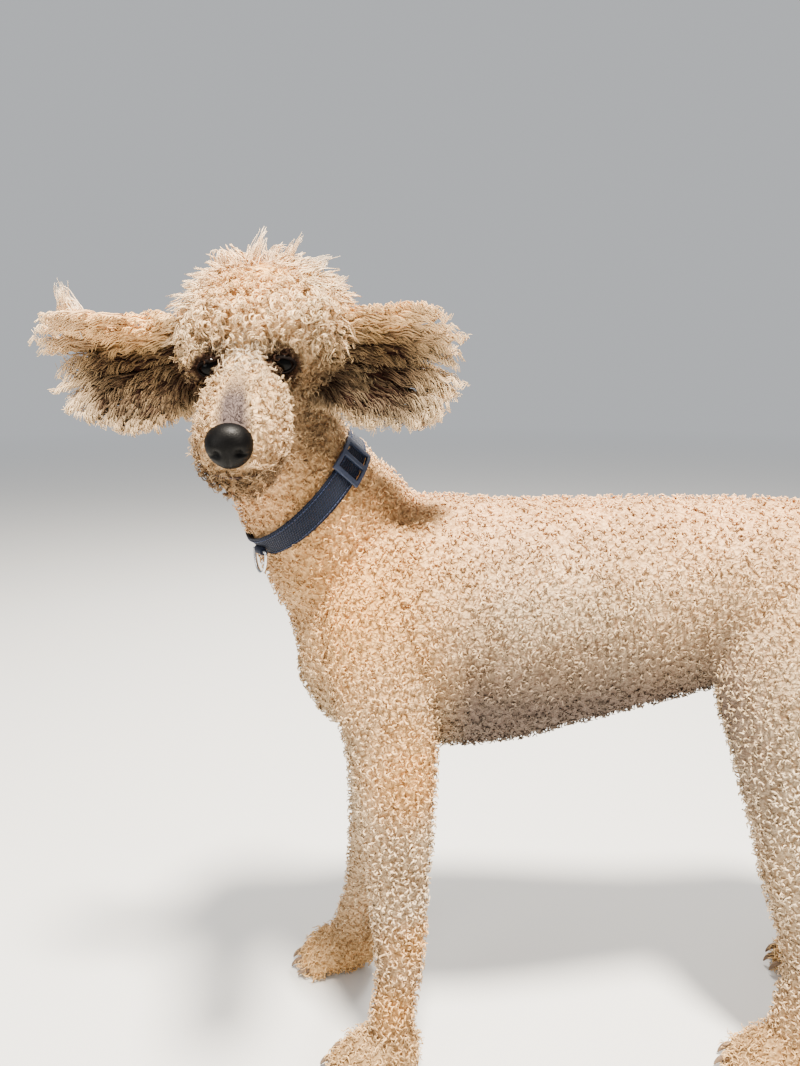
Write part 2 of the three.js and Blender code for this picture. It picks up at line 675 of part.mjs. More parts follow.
// The scene graph
const group = new THREE.Group();
const FLEECE = new THREE.MeshStandardMaterial({ color: 0xe3c6a2, roughness: 0.95 });
const NOSE_LEATHER = new THREE.MeshStandardMaterial({ color: 0x1c1a1b, roughness: 0.4 });
const EYE = new THREE.MeshStandardMaterial({ color: 0x2a160c, roughness: 0.1 });
const CLAW = new THREE.MeshStandardMaterial({ color: 0x4a3a30, roughness: 0.5 });
const PLASTIC = new THREE.MeshStandardMaterial({ color: 0x55617d, roughness: 0.5 });
const STEEL = new THREE.MeshStandardMaterial({ color: 0xc0c2c6, roughness: 0.25, metalness: 1 });
const WEBBING = new THREE.MeshStandardMaterial({ color: 0x16233f, roughness: 0.8 });

function show(name, body, material) {
  const mesh = new THREE.Mesh(geometryOf(body), material);
  mesh.name = name;
  group.add(mesh);
}

const ankles = {
  forepaw_left: foreLegTips.left.at(-1)[0],
  forepaw_right: foreLegTips.right.at(-1)[0],
  hindpaw_left: hindLegTips.left.at(-1)[0],
  hindpaw_right: hindLegTips.right.at(-1)[0],
};
const ground = plate(at(0, 0, -50), at(0, 0, 1), [1400, 800], 100);
const hollows = join([
  ground,
  collarGroove(),
  collarBuckle(GAP),
  tab(GAP),
  ringRoom(),
  nose(GAP),
  ...[-1, 1].map((s) => eye(s, GAP)),
  ...["left", "right"].map((side) => onHead(earRoom(side, GAP))),
  ...Object.values(ankles).flatMap((ankle) => claws(ankle, GAP)),
]);
const pieces = body().subtract(hollows).subtract(cuts()).decompose();

for (const [name, spot] of Object.entries(nodeSpots())) {
  const probe = ellipsoid(spot, [2, 2, 2], 6);
  show(name, pieces.find((piece) => piece.intersect(probe).volume() > 1), FLEECE);
}
show("nose", nose(), NOSE_LEATHER);
for (const [side, s] of [["left", -1], ["right", 1]]) {
  show("eye_" + side, eye(s), EYE);
  show("ear_" + side, ear(side), FLEECE);
}
for (const [name, ankle] of Object.entries(ankles)) {
  claws(ankle).forEach((claw, i) => show(`${name}_claw_${i + 1}`, claw, CLAW));
}
show("collar_band", collarBand(), WEBBING);
show("collar_buckle", collarBuckle(), PLASTIC);
show("collar_ring", ring(), STEEL);

// The origin moves to the floor, under the middle of the whole
const bounds = new THREE.Box3().setFromObject(group);
const middle = bounds.getCenter(at(0, 0, 0));
group.position.set(-middle.x, -middle.y, -bounds.min.z);

export default group;
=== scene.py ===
"""A standard poodle, life size, standing with its head turned to its left and its ears blown out sideways.

Sizes are millimetres in the dog's own frame: it faces -X, its left side faces -Y and +Z is up. The head has a
frame of its own, midway between the eyes: x to the dog's right, y forward to the nose, z up.
"""
import math

import bpy
import numpy as np
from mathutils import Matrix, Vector
from mathutils.bvhtree import BVHTree
from mathutils.kdtree import KDTree


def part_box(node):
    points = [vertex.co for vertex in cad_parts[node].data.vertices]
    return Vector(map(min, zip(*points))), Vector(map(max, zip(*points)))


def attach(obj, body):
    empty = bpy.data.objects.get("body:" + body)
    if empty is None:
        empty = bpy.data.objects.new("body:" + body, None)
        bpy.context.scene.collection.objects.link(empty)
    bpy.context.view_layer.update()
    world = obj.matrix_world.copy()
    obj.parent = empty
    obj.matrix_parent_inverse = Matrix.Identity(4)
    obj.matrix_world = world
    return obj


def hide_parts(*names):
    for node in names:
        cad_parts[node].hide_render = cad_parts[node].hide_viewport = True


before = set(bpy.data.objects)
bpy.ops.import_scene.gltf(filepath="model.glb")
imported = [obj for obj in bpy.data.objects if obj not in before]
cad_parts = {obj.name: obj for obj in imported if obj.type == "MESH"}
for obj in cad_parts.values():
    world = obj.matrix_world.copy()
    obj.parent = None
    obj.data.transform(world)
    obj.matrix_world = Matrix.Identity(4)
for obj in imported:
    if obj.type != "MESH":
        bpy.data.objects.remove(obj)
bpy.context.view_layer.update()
chance = np.random.default_rng(7)


# Frames: the dog's, the head's and the row's

EYES_MIDDLE = np.array([-332.5, -138.0, 750.0])
HEAD_TURN = 183  # degrees from facing +Y
HEAD_PITCH = -12
HEAD_ROLL = 3
EYE_HALF_SPACING = 29
EYE_FORWARD = 7
EYE_RADIUS = 10.5
SIDES = ("left", "right")


def turn_about(axis, degrees):
    c, s = math.cos(math.radians(degrees)), math.sin(math.radians(degrees))
    rows = {
        "x": [[1, 0, 0], [0, c, -s], [0, s, c]],
        "y": [[c, 0, s], [0, 1, 0], [-s, 0, c]],
        "z": [[c, -s, 0], [s, c, 0], [0, 0, 1]],
    }
    return np.array(rows[axis])


HEAD_AXES = turn_about("z", HEAD_TURN) @ turn_about("x", HEAD_PITCH) @ turn_about("y", HEAD_ROLL)


def on_head(points):
    return np.asarray(points, float) @ HEAD_AXES.T + EYES_MIDDLE


def node_middle(name):
    low, high = (np.array(corner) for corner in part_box(name))
    return (low + high) / 2


EYES_BETWEEN = 500 * (node_middle("eye_left") + node_middle("eye_right"))
TO_ROW = EYES_BETWEEN - on_head([0, EYE_FORWARD, 0])  # from the dog's frame to the row's, in millimetres


def metres(points):
    """From millimetres in the dog's frame to metres in the row's."""
    return (np.asarray(points, float) + TO_ROW) / 1000


def millimetres(spots):
    """From metres in the row's frame to millimetres in the dog's."""
    return spots * 1000 - TO_ROW


def in_head(points):
    """From the dog's frame to the head's."""
    return (np.asarray(points, float) - EYES_MIDDLE) @ HEAD_AXES


def unit(vectors):
    vectors = np.asarray(vectors, float)
    return vectors / np.maximum(np.linalg.norm(vectors, axis=-1, keepdims=True), 1e-9)


def clamped(values):
    return np.clip(values, 0, 1)


def bell(*shares):
    """1 where every share is 0, and next to nothing where one of them is past 2."""
    return np.exp(-sum(share ** 2 for share in shares))


def columns(*values):
    """One row for each spot, from a value or a number for each column."""
    return np.stack(np.broadcast_arrays(*values), axis=-1)


def linked(name, data):
    made = bpy.data.objects.new(name, data)
    bpy.context.collection.objects.link(made)
    return made


# Camera, floor and light

CAMERA_SPOT = (-210, -800, 750)
CAMERA_PITCH = 12  # degrees down
PHOTO_SIZE = (800, 1066)
PHOTO_FOCUS = 800  # pixels
SENSOR_WIDTH = 36
WORLD_COLOUR = (0.93, 0.96, 1.0)
WORLD_STRENGTH = 0.58
LIGHTS = {  # where each lamp stands and aims in metres, its size, watts and colour
    "key": ((0.05, -0.8, 3.0), (0, 0, 0.5), 0.4, 530, (1.0, 0.91, 0.78)),
    "front_fill": ((-2.0, -1.9, 1.5), (-0.1, 0, 0.6), 1.6, 36, (1.0, 0.96, 0.90)),
    "rim": ((0.4, 1.9, 1.9), (-0.2, 0, 0.6), 0.8, 90, (1.0, 0.94, 0.86)),
}
FLOOR_WIDTH = 80
FLOOR_COLOUR = (0.66, 0.66, 0.65)
FLOOR_FADE = (2.0, 9.0)  # metres from the dog between which the floor fades into the background


def place_camera():
    data = bpy.data.cameras.new("camera")
    data.sensor_width = SENSOR_WIDTH
    data.lens = SENSOR_WIDTH * PHOTO_FOCUS / max(PHOTO_SIZE)
    camera = linked("camera", data)
    camera.location = metres(CAMERA_SPOT)
    camera.rotation_euler = (math.radians(90 - CAMERA_PITCH), 0, 0)
    bpy.context.scene.camera = camera


def light_studio():
    world = bpy.data.worlds.new("studio")
    bpy.context.scene.world = world
    world.use_nodes = True
    background = world.node_tree.nodes["Background"]
    background.inputs["Color"].default_value = (*WORLD_COLOUR, 1)
    background.inputs["Strength"].default_value = WORLD_STRENGTH
    for name, (spot, aim, size, watts, colour) in LIGHTS.items():
        data = bpy.data.lights.new(name, "AREA")
        data.shape = "DISK"
        data.size = size
        data.energy = watts
        data.color = colour
        light = linked(name, data)
        light.location = spot
        light.rotation_euler = (Vector(aim) - Vector(spot)).to_track_quat("-Z", "Y").to_euler()


def make_floor():
    """A pale floor that fades into the background far off, so no horizon shows."""
    deselect()
    bpy.ops.mesh.primitive_plane_add(size=FLOOR_WIDTH, location=(0, 0, 0))
    floor = bpy.context.object
    floor.name = "studio_floor"
    finish = Finish("studio_floor", Roughness=0.9)
    distance = finish.vector("LENGTH", finish.place(), output="Value")
    near, far = FLOOR_FADE
    fade = finish.rise((distance - near) / (far - near))
    glow = finish.node("Emission", inputs={"Color": WORLD_COLOUR, "Strength": WORLD_STRENGTH})
    finish.set(Base_Color=FLOOR_COLOUR)
    surface = finish.node("MixShader", inputs={0: fade, 1: Flow(finish, finish.shader.outputs[0]), 2: glow})
    finish.feed(finish.tree.nodes["Material Output"].inputs["Surface"], surface)
    floor.data.materials.append(finish.material)


# Materials

BLACK = (0, 0, 0)
WHITE = (1, 1, 1)
MIX_COLOURS = (6, 7)  # the sockets of a Mix node that take and give colours
MIX_RESULT = 2


class Flow:
    """A shader socket in an expression: + - * / and powers add Math nodes."""

    def __init__(self, material, socket):
        self.material = material
        self.socket = socket

    def math(self, operation, *values):
        return self.material.node("Math", {"operation": operation}, dict(enumerate(values)))

    def __add__(self, other):
        return self.math("ADD", self, other)

    def __sub__(self, other):
        return self.math("SUBTRACT", self, other)

    def __rsub__(self, other):
        return self.math("SUBTRACT", other, self)

    def __mul__(self, other):
        return self.math("MULTIPLY", self, other)

    def __truediv__(self, other):
        return self.math("DIVIDE", self, other)

    def __pow__(self, other):
        return self.math("POWER", self, other)

    def sine(self):
        return self.math("SINE", self)

    __radd__ = __add__
    __rmul__ = __mul__


class Finish:
    """A material and the one method that adds its nodes."""

    def __init__(self, name, **constants):
        self.material = bpy.data.materials.new(name)
        self.material.use_nodes = True
        self.tree = self.material.node_tree
        self.shader = self.tree.nodes["Principled BSDF"]
        for socket, value in constants.items():
            self.shader.inputs[socket.replace("_", " ")].default_value = value

    def node(self, kind, settings=None, inputs=None, output=0):
        made = self.tree.nodes.new("ShaderNode" + kind)
        for key, value in (settings or {}).items():
            if key == "stops":
                ramp = made.color_ramp
                while len(ramp.elements) < len(value):
                    ramp.elements.new(0.5)
                for element, (place, colour) in zip(ramp.elements, value):
                    element.position = place
                    element.color = (*colour, 1)
            else:
                setattr(made, key, value)
        for key, value in (inputs or {}).items():
            self.feed(made.inputs[key], value)
        return Flow(self, made.outputs[output])

    def feed(self, socket, value):
        if isinstance(value, Flow):
            self.tree.links.new(value.socket, socket)
        elif socket.type == "RGBA":
            socket.default_value = (*value, 1)
        else:
            socket.default_value = value

    def set(self, **links):
        for socket, value in links.items():
            self.feed(self.shader.inputs[socket.replace("_", " ")], value)
        return self.material

    def place(self):
        return self.node("TexCoord", output="Object")

    def attribute(self, name):
        return self.node("Attribute", {"attribute_name": name}, output="Fac")

    def noise(self, scale, detail=2.0, rough=0.5):
        return self.node("TexNoise", inputs={"Vector": self.place(), "Scale": scale, "Detail": detail,
                                             "Roughness": rough})

    def vector(self, operation, *values, output="Vector", **named):
        inputs = {**dict(enumerate(values)), **named}
        return self.node("VectorMath", {"operation": operation}, inputs, output)

    def ramp(self, value, *stops):
        return self.node("ValToRGB", {"stops": stops}, {"Fac": value})

    def rise(self, value, low=0.0, high=1.0):
        """0 up to low and 1 from high on."""
        return self.ramp(value, (low, BLACK), (high, WHITE))

    def mix(self, factor, first, second, blend="MIX"):
        settings = {"data_type": "RGBA", "blend_type": blend}
        first_socket, second_socket = MIX_COLOURS
        inputs = {0: factor, first_socket: first, second_socket: second}
        return self.node("Mix", settings, inputs, MIX_RESULT)

    def darker(self, colour, tint):
        return self.mix(1.0, colour, tint, "MULTIPLY")

    def bump(self, height, distance, strength=1.0):
        return self.node("Bump", inputs={"Height": height, "Distance": distance, "Strength": strength})

    def near(self, spot, reach):
        """1 at a spot of the row's frame and 0 from reach on, in metres."""
        gap = self.vector("DISTANCE", self.place(), spot, output="Value")
        return self.ramp(gap / reach, (0.15, WHITE), (1.0, BLACK))

    def coat_colour(self):
        """Warm paws, whitish legs, flanks greyer and darker low down with painted shade, a pinkish back,
        apricot patches, and painted shade in soft clumps, on the cheeks and on the right of the muzzle.
        """
        height = self.node("SeparateXYZ", inputs={"Vector": self.place()}, output="Z")
        colour = self.ramp(height + self.noise(9.0, 3.0) * 0.06, *HEIGHT_COLOURS)
        # painted shade: soft darker clumps all over, and the shaded places of the head
        painted_shade_clumps = self.rise(self.noise(26.0), 0.40, 0.64)
        for spot, reach in SHADED_PLACES:
            painted_shade_clumps = painted_shade_clumps + self.near(spot, reach) * 2.0
        colour = self.mix(self.rise(painted_shade_clumps * 0.3), colour, SHADED)
        patch = self.rise(self.noise(5.0, 3.0), 0.44, 0.72) * 0.35
        for spot, reach in APRICOT_PLACES:
            patch = patch + self.near(spot, reach)
        return self.mix(self.rise(patch) * 0.85, colour, APRICOT)


def srgb(*channels):
    return tuple((c / 255 / 12.92) if c < 10.3 else ((c / 255 + 0.055) / 1.055) ** 2.4 for c in channels)


# Surfaces swept through stations: each its centre, its half width across and its half depth

SIDEWAYS = np.array([0.0, 1.0, 0.0])
SMALL_STEP = 0.004  # of the way along or round a surface, to find its slope
POLE_BULGE = 0.45


def along(points, t):
    """A smooth line through points, at shares t of the way."""
    points = np.asarray(points, float)
    last = len(points) - 1
    place = clamped(np.asarray(t, float)) * last
    i = np.minimum(place.astype(int), last - 1)
    f = (place - i)[..., None]
    ends = np.vstack([2 * points[0] - points[1], points, 2 * points[-1] - points[-2]])
    a, b, c, d = (ends[i + k] for k in range(4))
    return 0.5 * (2 * b + (c - a) * f + (2 * a - 5 * b + 4 * c - d) * f ** 2
                  + (3 * b - a - 3 * c + d) * f ** 3)


class Sweep:
    """The skin or the coat over one part."""

    def __init__(self, stations, side=SIDEWAYS, inset=0.0, lean=0.0, head=False):
        stations = np.array(stations, float)
        self.centres = stations[:, :3]
        self.sizes = stations[:, 3:] - inset
        self.side = side
        self.lean = math.radians(lean)
        self.head = head
        walk = along(self.centres, np.linspace(0, 1, 60))
        self.length = np.linalg.norm(np.diff(walk, axis=0), axis=1).sum()

    def axes(self, t):
        tangent = unit(along(self.centres, t + SMALL_STEP) - along(self.centres, t - SMALL_STEP))
        normal = unit(np.cross(self.side, tangent))
        across = np.cross(tangent, normal)
        return tangent, normal * math.cos(self.lean) + np.cross(across, normal) * math.sin(self.lean), across

    def point(self, t, turn=None):
        """On the surface at shares t of the way, or on the centre line where no turn is given."""
        inside = clamped(t)
        tangent, normal, across = self.axes(inside)
        spot = along(self.centres, inside) + tangent * ((t - inside) * self.length)[..., None]
        if turn is not None:
            sizes = along(self.sizes, inside)
            spot = spot + across * (sizes[..., 0] * np.cos(turn))[..., None]
            spot = spot + normal * (sizes[..., 1] * np.sin(turn))[..., None]
        return on_head(spot) if self.head else spot


def deselect():
    if bpy.context.object and bpy.context.object.mode != "OBJECT":
        bpy.ops.object.mode_set(mode="OBJECT")
    bpy.ops.object.select_all(action="DESELECT")


def pick(*pieces):
    deselect()
    for piece in pieces:
        piece.select_set(True)
    bpy.context.view_layer.objects.active = pieces[0]


def ball(name, segments, rings):
    deselect()
    bpy.ops.mesh.primitive_uv_sphere_add(segments=segments, ring_count=rings, radius=1)
    piece = bpy.context.object
    piece.name = name
    return piece


def rows_of(items, key, kind=float):
    """A property of three numbers, one row for each item of a mesh."""
    flat = np.empty(3 * len(items), kind)
    items.foreach_get(key, flat)
    return flat.reshape(-1, 3)


def spots_of(piece):
    return rows_of(piece.data.vertices, "co")


def move_spots(piece, spots):
    piece.data.vertices.foreach_set("co", np.asarray(spots, float).ravel())
    piece.data.update()


def swept(name, sweep, rings=48, segments=32):
    """A ball stretched over a sweep, its poles a little past the ends."""
    piece = ball(name, segments, rings)
    at = spots_of(piece)
    row = np.arccos(np.clip(at[:, 2], -1, 1)) / math.pi * rings
    t = (row - 1) / (rings - 2)
    spots = sweep.point(clamped(t), np.arctan2(at[:, 1], at[:, 0]))
    for end, past, pole in ((0, -POLE_BULGE, t < -1e-6), (1, POLE_BULGE, t > 1 + 1e-6)):
        share = end + past * sweep.sizes[-end].min() / sweep.length
        spots[pole] = sweep.point(np.full(pole.sum(), share))
    move_spots(piece, metres(spots))
    return piece


def blob(name, centre, radii, head=False, segments=24):
    piece = ball(name, segments, segments * 2 // 3)
    spots = spots_of(piece) * np.array(radii, float) + np.array(centre, float)
    move_spots(piece, metres(on_head(spots) if head else spots))
    return piece


def joined(name, pieces):
    pick(*pieces)
    bpy.ops.object.join()
    whole = bpy.context.object
    whole.name = name
    whole.data.name = name
    return whole


def apply_modifier(piece, kind, **settings):
    pick(piece)
    modifier = piece.modifiers.new(kind.lower(), kind)
    for key, value in settings.items():
        setattr(modifier, key, value)
    bpy.ops.object.modifier_apply(modifier=modifier.name)


def fuse(piece, voxel):
    """Crossing pieces become one closed mesh with soft edges."""
    apply_modifier(piece, "REMESH", mode="VOXEL", voxel_size=voxel)
    apply_modifier(piece, "SMOOTH", factor=0.5, iterations=6)


def shade_smooth(piece):
    pick(piece)
    bpy.ops.object.shade_smooth()


def closed_mesh(name, spots, faces, weave=None):
    """A smooth piece from spots and faces, its faces turned outwards."""
    mesh = bpy.data.meshes.new(name)
    mesh.from_pydata(spots.tolist(), [], faces)
    if weave is not None:
        mesh.uv_layers.new(name="weave").uv.foreach_set("vector", weave.ravel())
    piece = linked(name, mesh)
    pick(piece)
    bpy.ops.object.mode_set(mode="EDIT")
    bpy.ops.mesh.select_all(action="SELECT")
    bpy.ops.mesh.normals_make_consistent(inside=False)
    bpy.ops.object.mode_set(mode="OBJECT")
    shade_smooth(piece)
    return piece


def quads_between(rows, sides, wrap=False):
    """The quads of a tube, as the spot, the row and the side of each of their corners."""
    row, side = (x.reshape(-1, 1) for x in np.mgrid[:rows if wrap else rows - 1, :sides])
    row = row + [0, 0, 1, 1]
    side = side + [0, 1, 1, 0]
    return row % rows * sides + side % sides, row, side


def oval_rings(paths, tangents, outs, half_widths, half_depths, sides):
    """Spots in rings round paths, each ring an oval that lies flat to outs."""
    angle = np.arange(sides) * 2 * math.pi / sides
    across = unit(np.cross(tangents, outs))
    up = np.cross(across, tangents)
    wide = half_widths[..., None, None] * np.cos(angle)[:, None]
    deep = half_depths[..., None, None] * np.sin(angle)[:, None]
    return (paths[..., None, :] + (across[..., None, :] * wide + up[..., None, :] * deep)).reshape(-1, 3)


def dress(piece, material, slot, *nodes):
    piece.data.materials.clear()
    piece.data.materials.append(material)
    if nodes:
        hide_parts(*nodes)
    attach(piece, "root")


# The stations of the body, at the tips of the coat

TORSO = [
    (-314, 0, 508, 28, 34), (-298, 0, 505, 52, 68), (-274, 0, 498, 76, 102), (-240, 0, 490, 92, 126),
    (-190, 0, 487.5, 97, 135.5), (-120, 0, 487.5, 97, 133.5), (-40, 0, 497.5, 91, 123.5),
    (40, 0, 508.5, 81, 113.5), (110, 0, 518, 76, 103.5), (180, 0, 525, 80, 94), (250, 0, 528, 74, 82),
    (292, 0, 520, 46, 58),
]
FORE_LEG = {
    "left": [
        (-212, -38, 590, 28, 38), (-226, -60, 520, 36, 60), (-226, -69, 450, 38, 58),
        (-218, -75, 380, 38, 50), (-213, -77, 300, 34, 42), (-212, -77, 225, 30, 35),
        (-210, -77, 160, 28, 31), (-214, -77, 105, 26, 27), (-220, -77, 62, 28, 29),
    ],
    "right": [
        (-212, 38, 590, 28, 38), (-226, 60, 520, 36, 60), (-228, 69, 450, 38, 58),
        (-232, 75, 380, 38, 50), (-236, 78, 300, 34, 42), (-242, 80, 225, 30, 34),
        (-248, 82, 155, 28, 31), (-259, 83, 100, 26, 27), (-270, 84, 60, 28, 29),
    ],
}
HIND_LEG = {
    "left": [
        (212, -46, 540, 38, 74), (184, -58, 450, 46, 88), (181, -68, 370, 46, 64),
        (188, -72, 305, 40, 51), (198, -74, 240, 35, 43), (212, -76, 180, 31, 37),
        (216, -77, 130, 27, 30), (208, -77, 60, 28, 29),
    ],
    "right": [
        (226, 46, 540, 38, 74), (218, 58, 450, 46, 84), (218, 68, 370, 46, 62), (232, 72, 305, 40, 50),
        (258, 74, 240, 35, 43), (292, 76, 180, 31, 38), (320, 77, 126, 27, 31), (330, 77, 60, 28, 29),
    ],
}
NECK = [
    (-205, 0, 508, 60, 92), (-262, -3, 562, 68, 95), (-293, -16, 610, 67, 81), (-318, -36, 661, 62, 69),
    (-334, -58, 712, 56, 60), (-340, -74, 756, 44, 46),
]
NECK_LEAN = -13
TAIL = [
    (238, 0, 560, 26, 26), (276, 0, 606, 24, 24), (306, 0, 655, 32, 32), (326, 0, 705, 39, 39),
    (334, 0, 752, 35, 35), (334, 0, 780, 18, 18),
]
SKULL = [
    (-4, -118, 6, 36, 34), (-6, -94, 10, 62, 58), (-7, -58, 12, 75, 68), (-5, -26, 8, 69, 60),
    (-2, -4, 2, 54, 47),
]
TOPKNOT = [
    (-14, -106, 24, 38, 26), (-14, -84, 28, 66, 44), (-13, -50, 30, 82, 54), (-11, -16, 29, 72, 46),
    (-8, 4, 26, 48, 30),
]
MUZZLE = [
    (-4, -34, -26, 52, 46), (-1, 2, -22, 34, 40), (0, 36, -28, 34, 38), (1, 68, -38, 37, 41),
    (2, 92, -47, 34, 37), (2, 103, -50, 24, 27),
]
EAR = {
    "left": [
        (-54, -44, -2, 38), (-84, -48, -11, 48), (-118, -52, -15, 53), (-152, -54, -13, 48),
        (-176, -54, -10, 28),
    ],
    "right": [
        (50, -44, 0, 36), (80, -48, -7, 46), (118, -52, -8, 47), (154, -54, 3, 42), (178, -54, 16, 27),
    ],
}
ACROSS_HEAD = (1, 0, 0)
EAR_CUP = 14

# Depth of the coat over the skin, to the tips of the curls
BODY_COAT = 6
LEG_COAT = 7
NECK_COAT = 6
TAIL_COAT = 16
TOPKNOT_COAT = 17
SKULL_COAT = 8
MUZZLE_COAT = 5
PAW_COAT = 5


def sweeps():
    """Every swept part of the skin by name."""
    made = {
        "torso": Sweep(TORSO, inset=BODY_COAT),
        "neck": Sweep(NECK, inset=NECK_COAT, lean=NECK_LEAN),
        "tail": Sweep(TAIL, inset=TAIL_COAT),
        "skull": Sweep(SKULL, side=ACROSS_HEAD, inset=SKULL_COAT, head=True),
        "topknot": Sweep(TOPKNOT, side=ACROSS_HEAD, inset=TOPKNOT_COAT, head=True),
        "muzzle": Sweep(MUZZLE, side=ACROSS_HEAD, inset=MUZZLE_COAT, head=True),
    }
    for side in SIDES:
        made["fore_leg_" + side] = Sweep(FORE_LEG[side], inset=LEG_COAT)
        made["hind_leg_" + side] = Sweep(HIND_LEG[side], inset=LEG_COAT)
    return made


SKIN = sweeps()
ANKLES = {
    "fore_left": FORE_LEG["left"][-1],
    "fore_right": FORE_LEG["right"][-1],
    "hind_left": HIND_LEG["left"][-1],
    "hind_right": HIND_LEG["right"][-1],
}
# The stations of a paw and of a claw: behind the ankle or the claw's root, height, half width, half depth
PAW = [(24, 28, 22, 26), (4, 32, 29, 36), (-20, 26, 34, 30), (-42, 19, 32, 22), (-56, 16, 22, 14)]
CLAW = [(2, 13.5, 3.0, 4.0), (-5, 12, 2.7, 3.6), (-10, 8, 1.7, 2.2), (-12.5, 4, 0.6, 0.8)]
TOE_PLACES = (-1.5, -0.5, 0.5, 1.5)
TOE_SPACING = 15
TOE_HEIGHT = 14
TOE_RADII = (14, 8.5, 12)
CLAW_SPACING = 16
CLAW_AHEAD = 12  # of the middle of its toe


def stations_at(table, x, y):
    return [(x + behind, y, height, *size) for behind, height, *size in table]


def paw_sweep(ankle):
    return Sweep(stations_at(PAW, *ankle[:2]), inset=PAW_COAT)


def toe_reach(place):
    return 52 if abs(place) < 1 else 42


def paw_skin(name, ankle):
    pieces = [swept(name, paw_sweep(ankle), rings=20, segments=24)]
    for place in TOE_PLACES:
        middle = (ankle[0] - toe_reach(place), ankle[1] + place * TOE_SPACING, TOE_HEIGHT)
        pieces.append(blob(name, middle, TOE_RADII, segments=16))
    return pieces


def ear_point(side, u, v):
    """On an ear: u runs from its root to its far edge, v from its lower to its upper edge."""
    u, v = np.broadcast_arrays(u, v)
    place = along(EAR[side], u)
    return place[..., :3] + columns(0 * v, EAR_CUP * v * v, v * place[..., 3])


FLAP_REACH = 0.7  # how far out the leather of an ear reaches, as a share of the ear
FLAP_HEIGHT = 0.86
FLAP_THICKNESS = 3.5
FLAP_ROOT = 0.18  # up to this share of the ear the leather thickens towards the head


def ear_flap(side):
    piece = ball("ear_flap_" + side, 40, 24)
    at = spots_of(piece)
    u = FLAP_REACH * (0.5 - 0.5 * at[:, 0])
    root = clamped(1 - u / FLAP_ROOT)
    spots = ear_point(side, u, at[:, 2] * FLAP_HEIGHT)
    spots[:, 1] += FLAP_THICKNESS * at[:, 1]
    spots[:, 1] += root * 8 * at[:, 1]
    spots[:, 0] += (-1 if side == "right" else 1) * root * 10
    move_spots(piece, metres(on_head(spots)))
    return piece


LUMPS = {  # on the skull and the muzzle: middle and radii
    "lip_left": ((-13, 88, -47), (14, 15, 11)),
    "orbit_left": ((-30, 1.5, 0), (20, 13, 17)),
    "lip_right": ((17, 88, -47), (14, 15, 11)),
    "orbit_right": ((30, 1.5, 0), (20, 13, 17)),
    "chin": ((2, 82, -72), (18, 18, 7)),
}
SKIN_VOXEL = 0.0038
SKIN_FLOOR_GAP = 0.0004
TUFT_FLOOR_GAP = 0.0018  # from the floor to the middle of the lowest tufts
FLOOR_LEVEL = metres((0, 0, 0))[2]
FLESH = ["torso_chest", "torso_loin", "torso_rump", "neck", "head", "tail", "ear_left", "ear_right"]
FLESH += [part + "_" + side for side in SIDES
          for part in ("foreleg", "forepaw", "thigh", "shank", "hock", "hindpaw")]


def make_skin(material):
    pieces = [swept(name, sweep) for name, sweep in SKIN.items()]
    for name, ankle in ANKLES.items():
        pieces += paw_skin("paw_" + name, ankle)
    pieces += [ear_flap(side) for side in SIDES]
    pieces += [blob(name, middle, radii, head=True) for name, (middle, radii) in LUMPS.items()]
    skin = joined("skin", pieces)
    fuse(skin, SKIN_VOXEL)
    spots = spots_of(skin)
    spots[:, 2] = np.maximum(spots[:, 2], FLOOR_LEVEL + SKIN_FLOOR_GAP)
    move_spots(skin, spots)
    shade_smooth(skin)
    mark_skin(skin)
    dress(skin, material, "curly_coat", *FLESH)
    return skin


OVERSOW = 3.2  # random places tried for each root that is kept
ATLAS_STEPS = 90


def tree_of(spots):
    tree = KDTree(len(spots))
    for i, spot in enumerate(spots.tolist()):
        tree.insert(spot, i)
    tree.balance()
    return tree


class Ground:
    """The finished skin, for roots to stand on."""

    def __init__(self, skin):
        mesh = skin.data
        mesh.calc_loop_triangles()
        self.faces = rows_of(mesh.loop_triangles, "vertices", int)
        self.spots = spots_of(skin)
        self.normals = rows_of(mesh.vertices, "normal")
        corners = self.spots[self.faces]
        edges = corners[:, 1:] - corners[:, :1]
        self.areas = np.linalg.norm(np.cross(edges[:, 0], edges[:, 1]), axis=1) / 2
        self.middles = corners.mean(axis=1)

    def settle(self, spots):
        """The nearest place on the skin for each spot."""
        tree = BVHTree.FromPolygons(self.spots.tolist(), self.faces.tolist())
        return np.array([tree.find_nearest(spot)[0] for spot in spots.tolist()])

    def scatter(self, gap, wanted):
        """Roots spread evenly over the wanted faces, at least gap millimetres apart, and their normals."""
        gap = gap / 1000
        weight = self.areas * wanted
        count = int(weight.sum() / gap ** 2 * OVERSOW)
        face = self.faces[chance.choice(len(weight), count, p=weight / weight.sum())]
        a = np.sqrt(chance.uniform(0, 1, count))
        b = chance.uniform(0, 1, count)
        corner_shares = columns(1 - a, a * (1 - b), a * b)[..., None]
        spots = (self.spots[face] * corner_shares).sum(axis=1)
        normals = unit((self.normals[face] * corner_shares).sum(axis=1))
        tree = tree_of(spots)
        free = np.ones(count, bool)
        for i, spot in enumerate(spots.tolist()):
            if free[i]:
                for _, j, _ in tree.find_range(spot, gap):
                    if j > i:
                        free[j] = False
        return spots[free], normals[free]


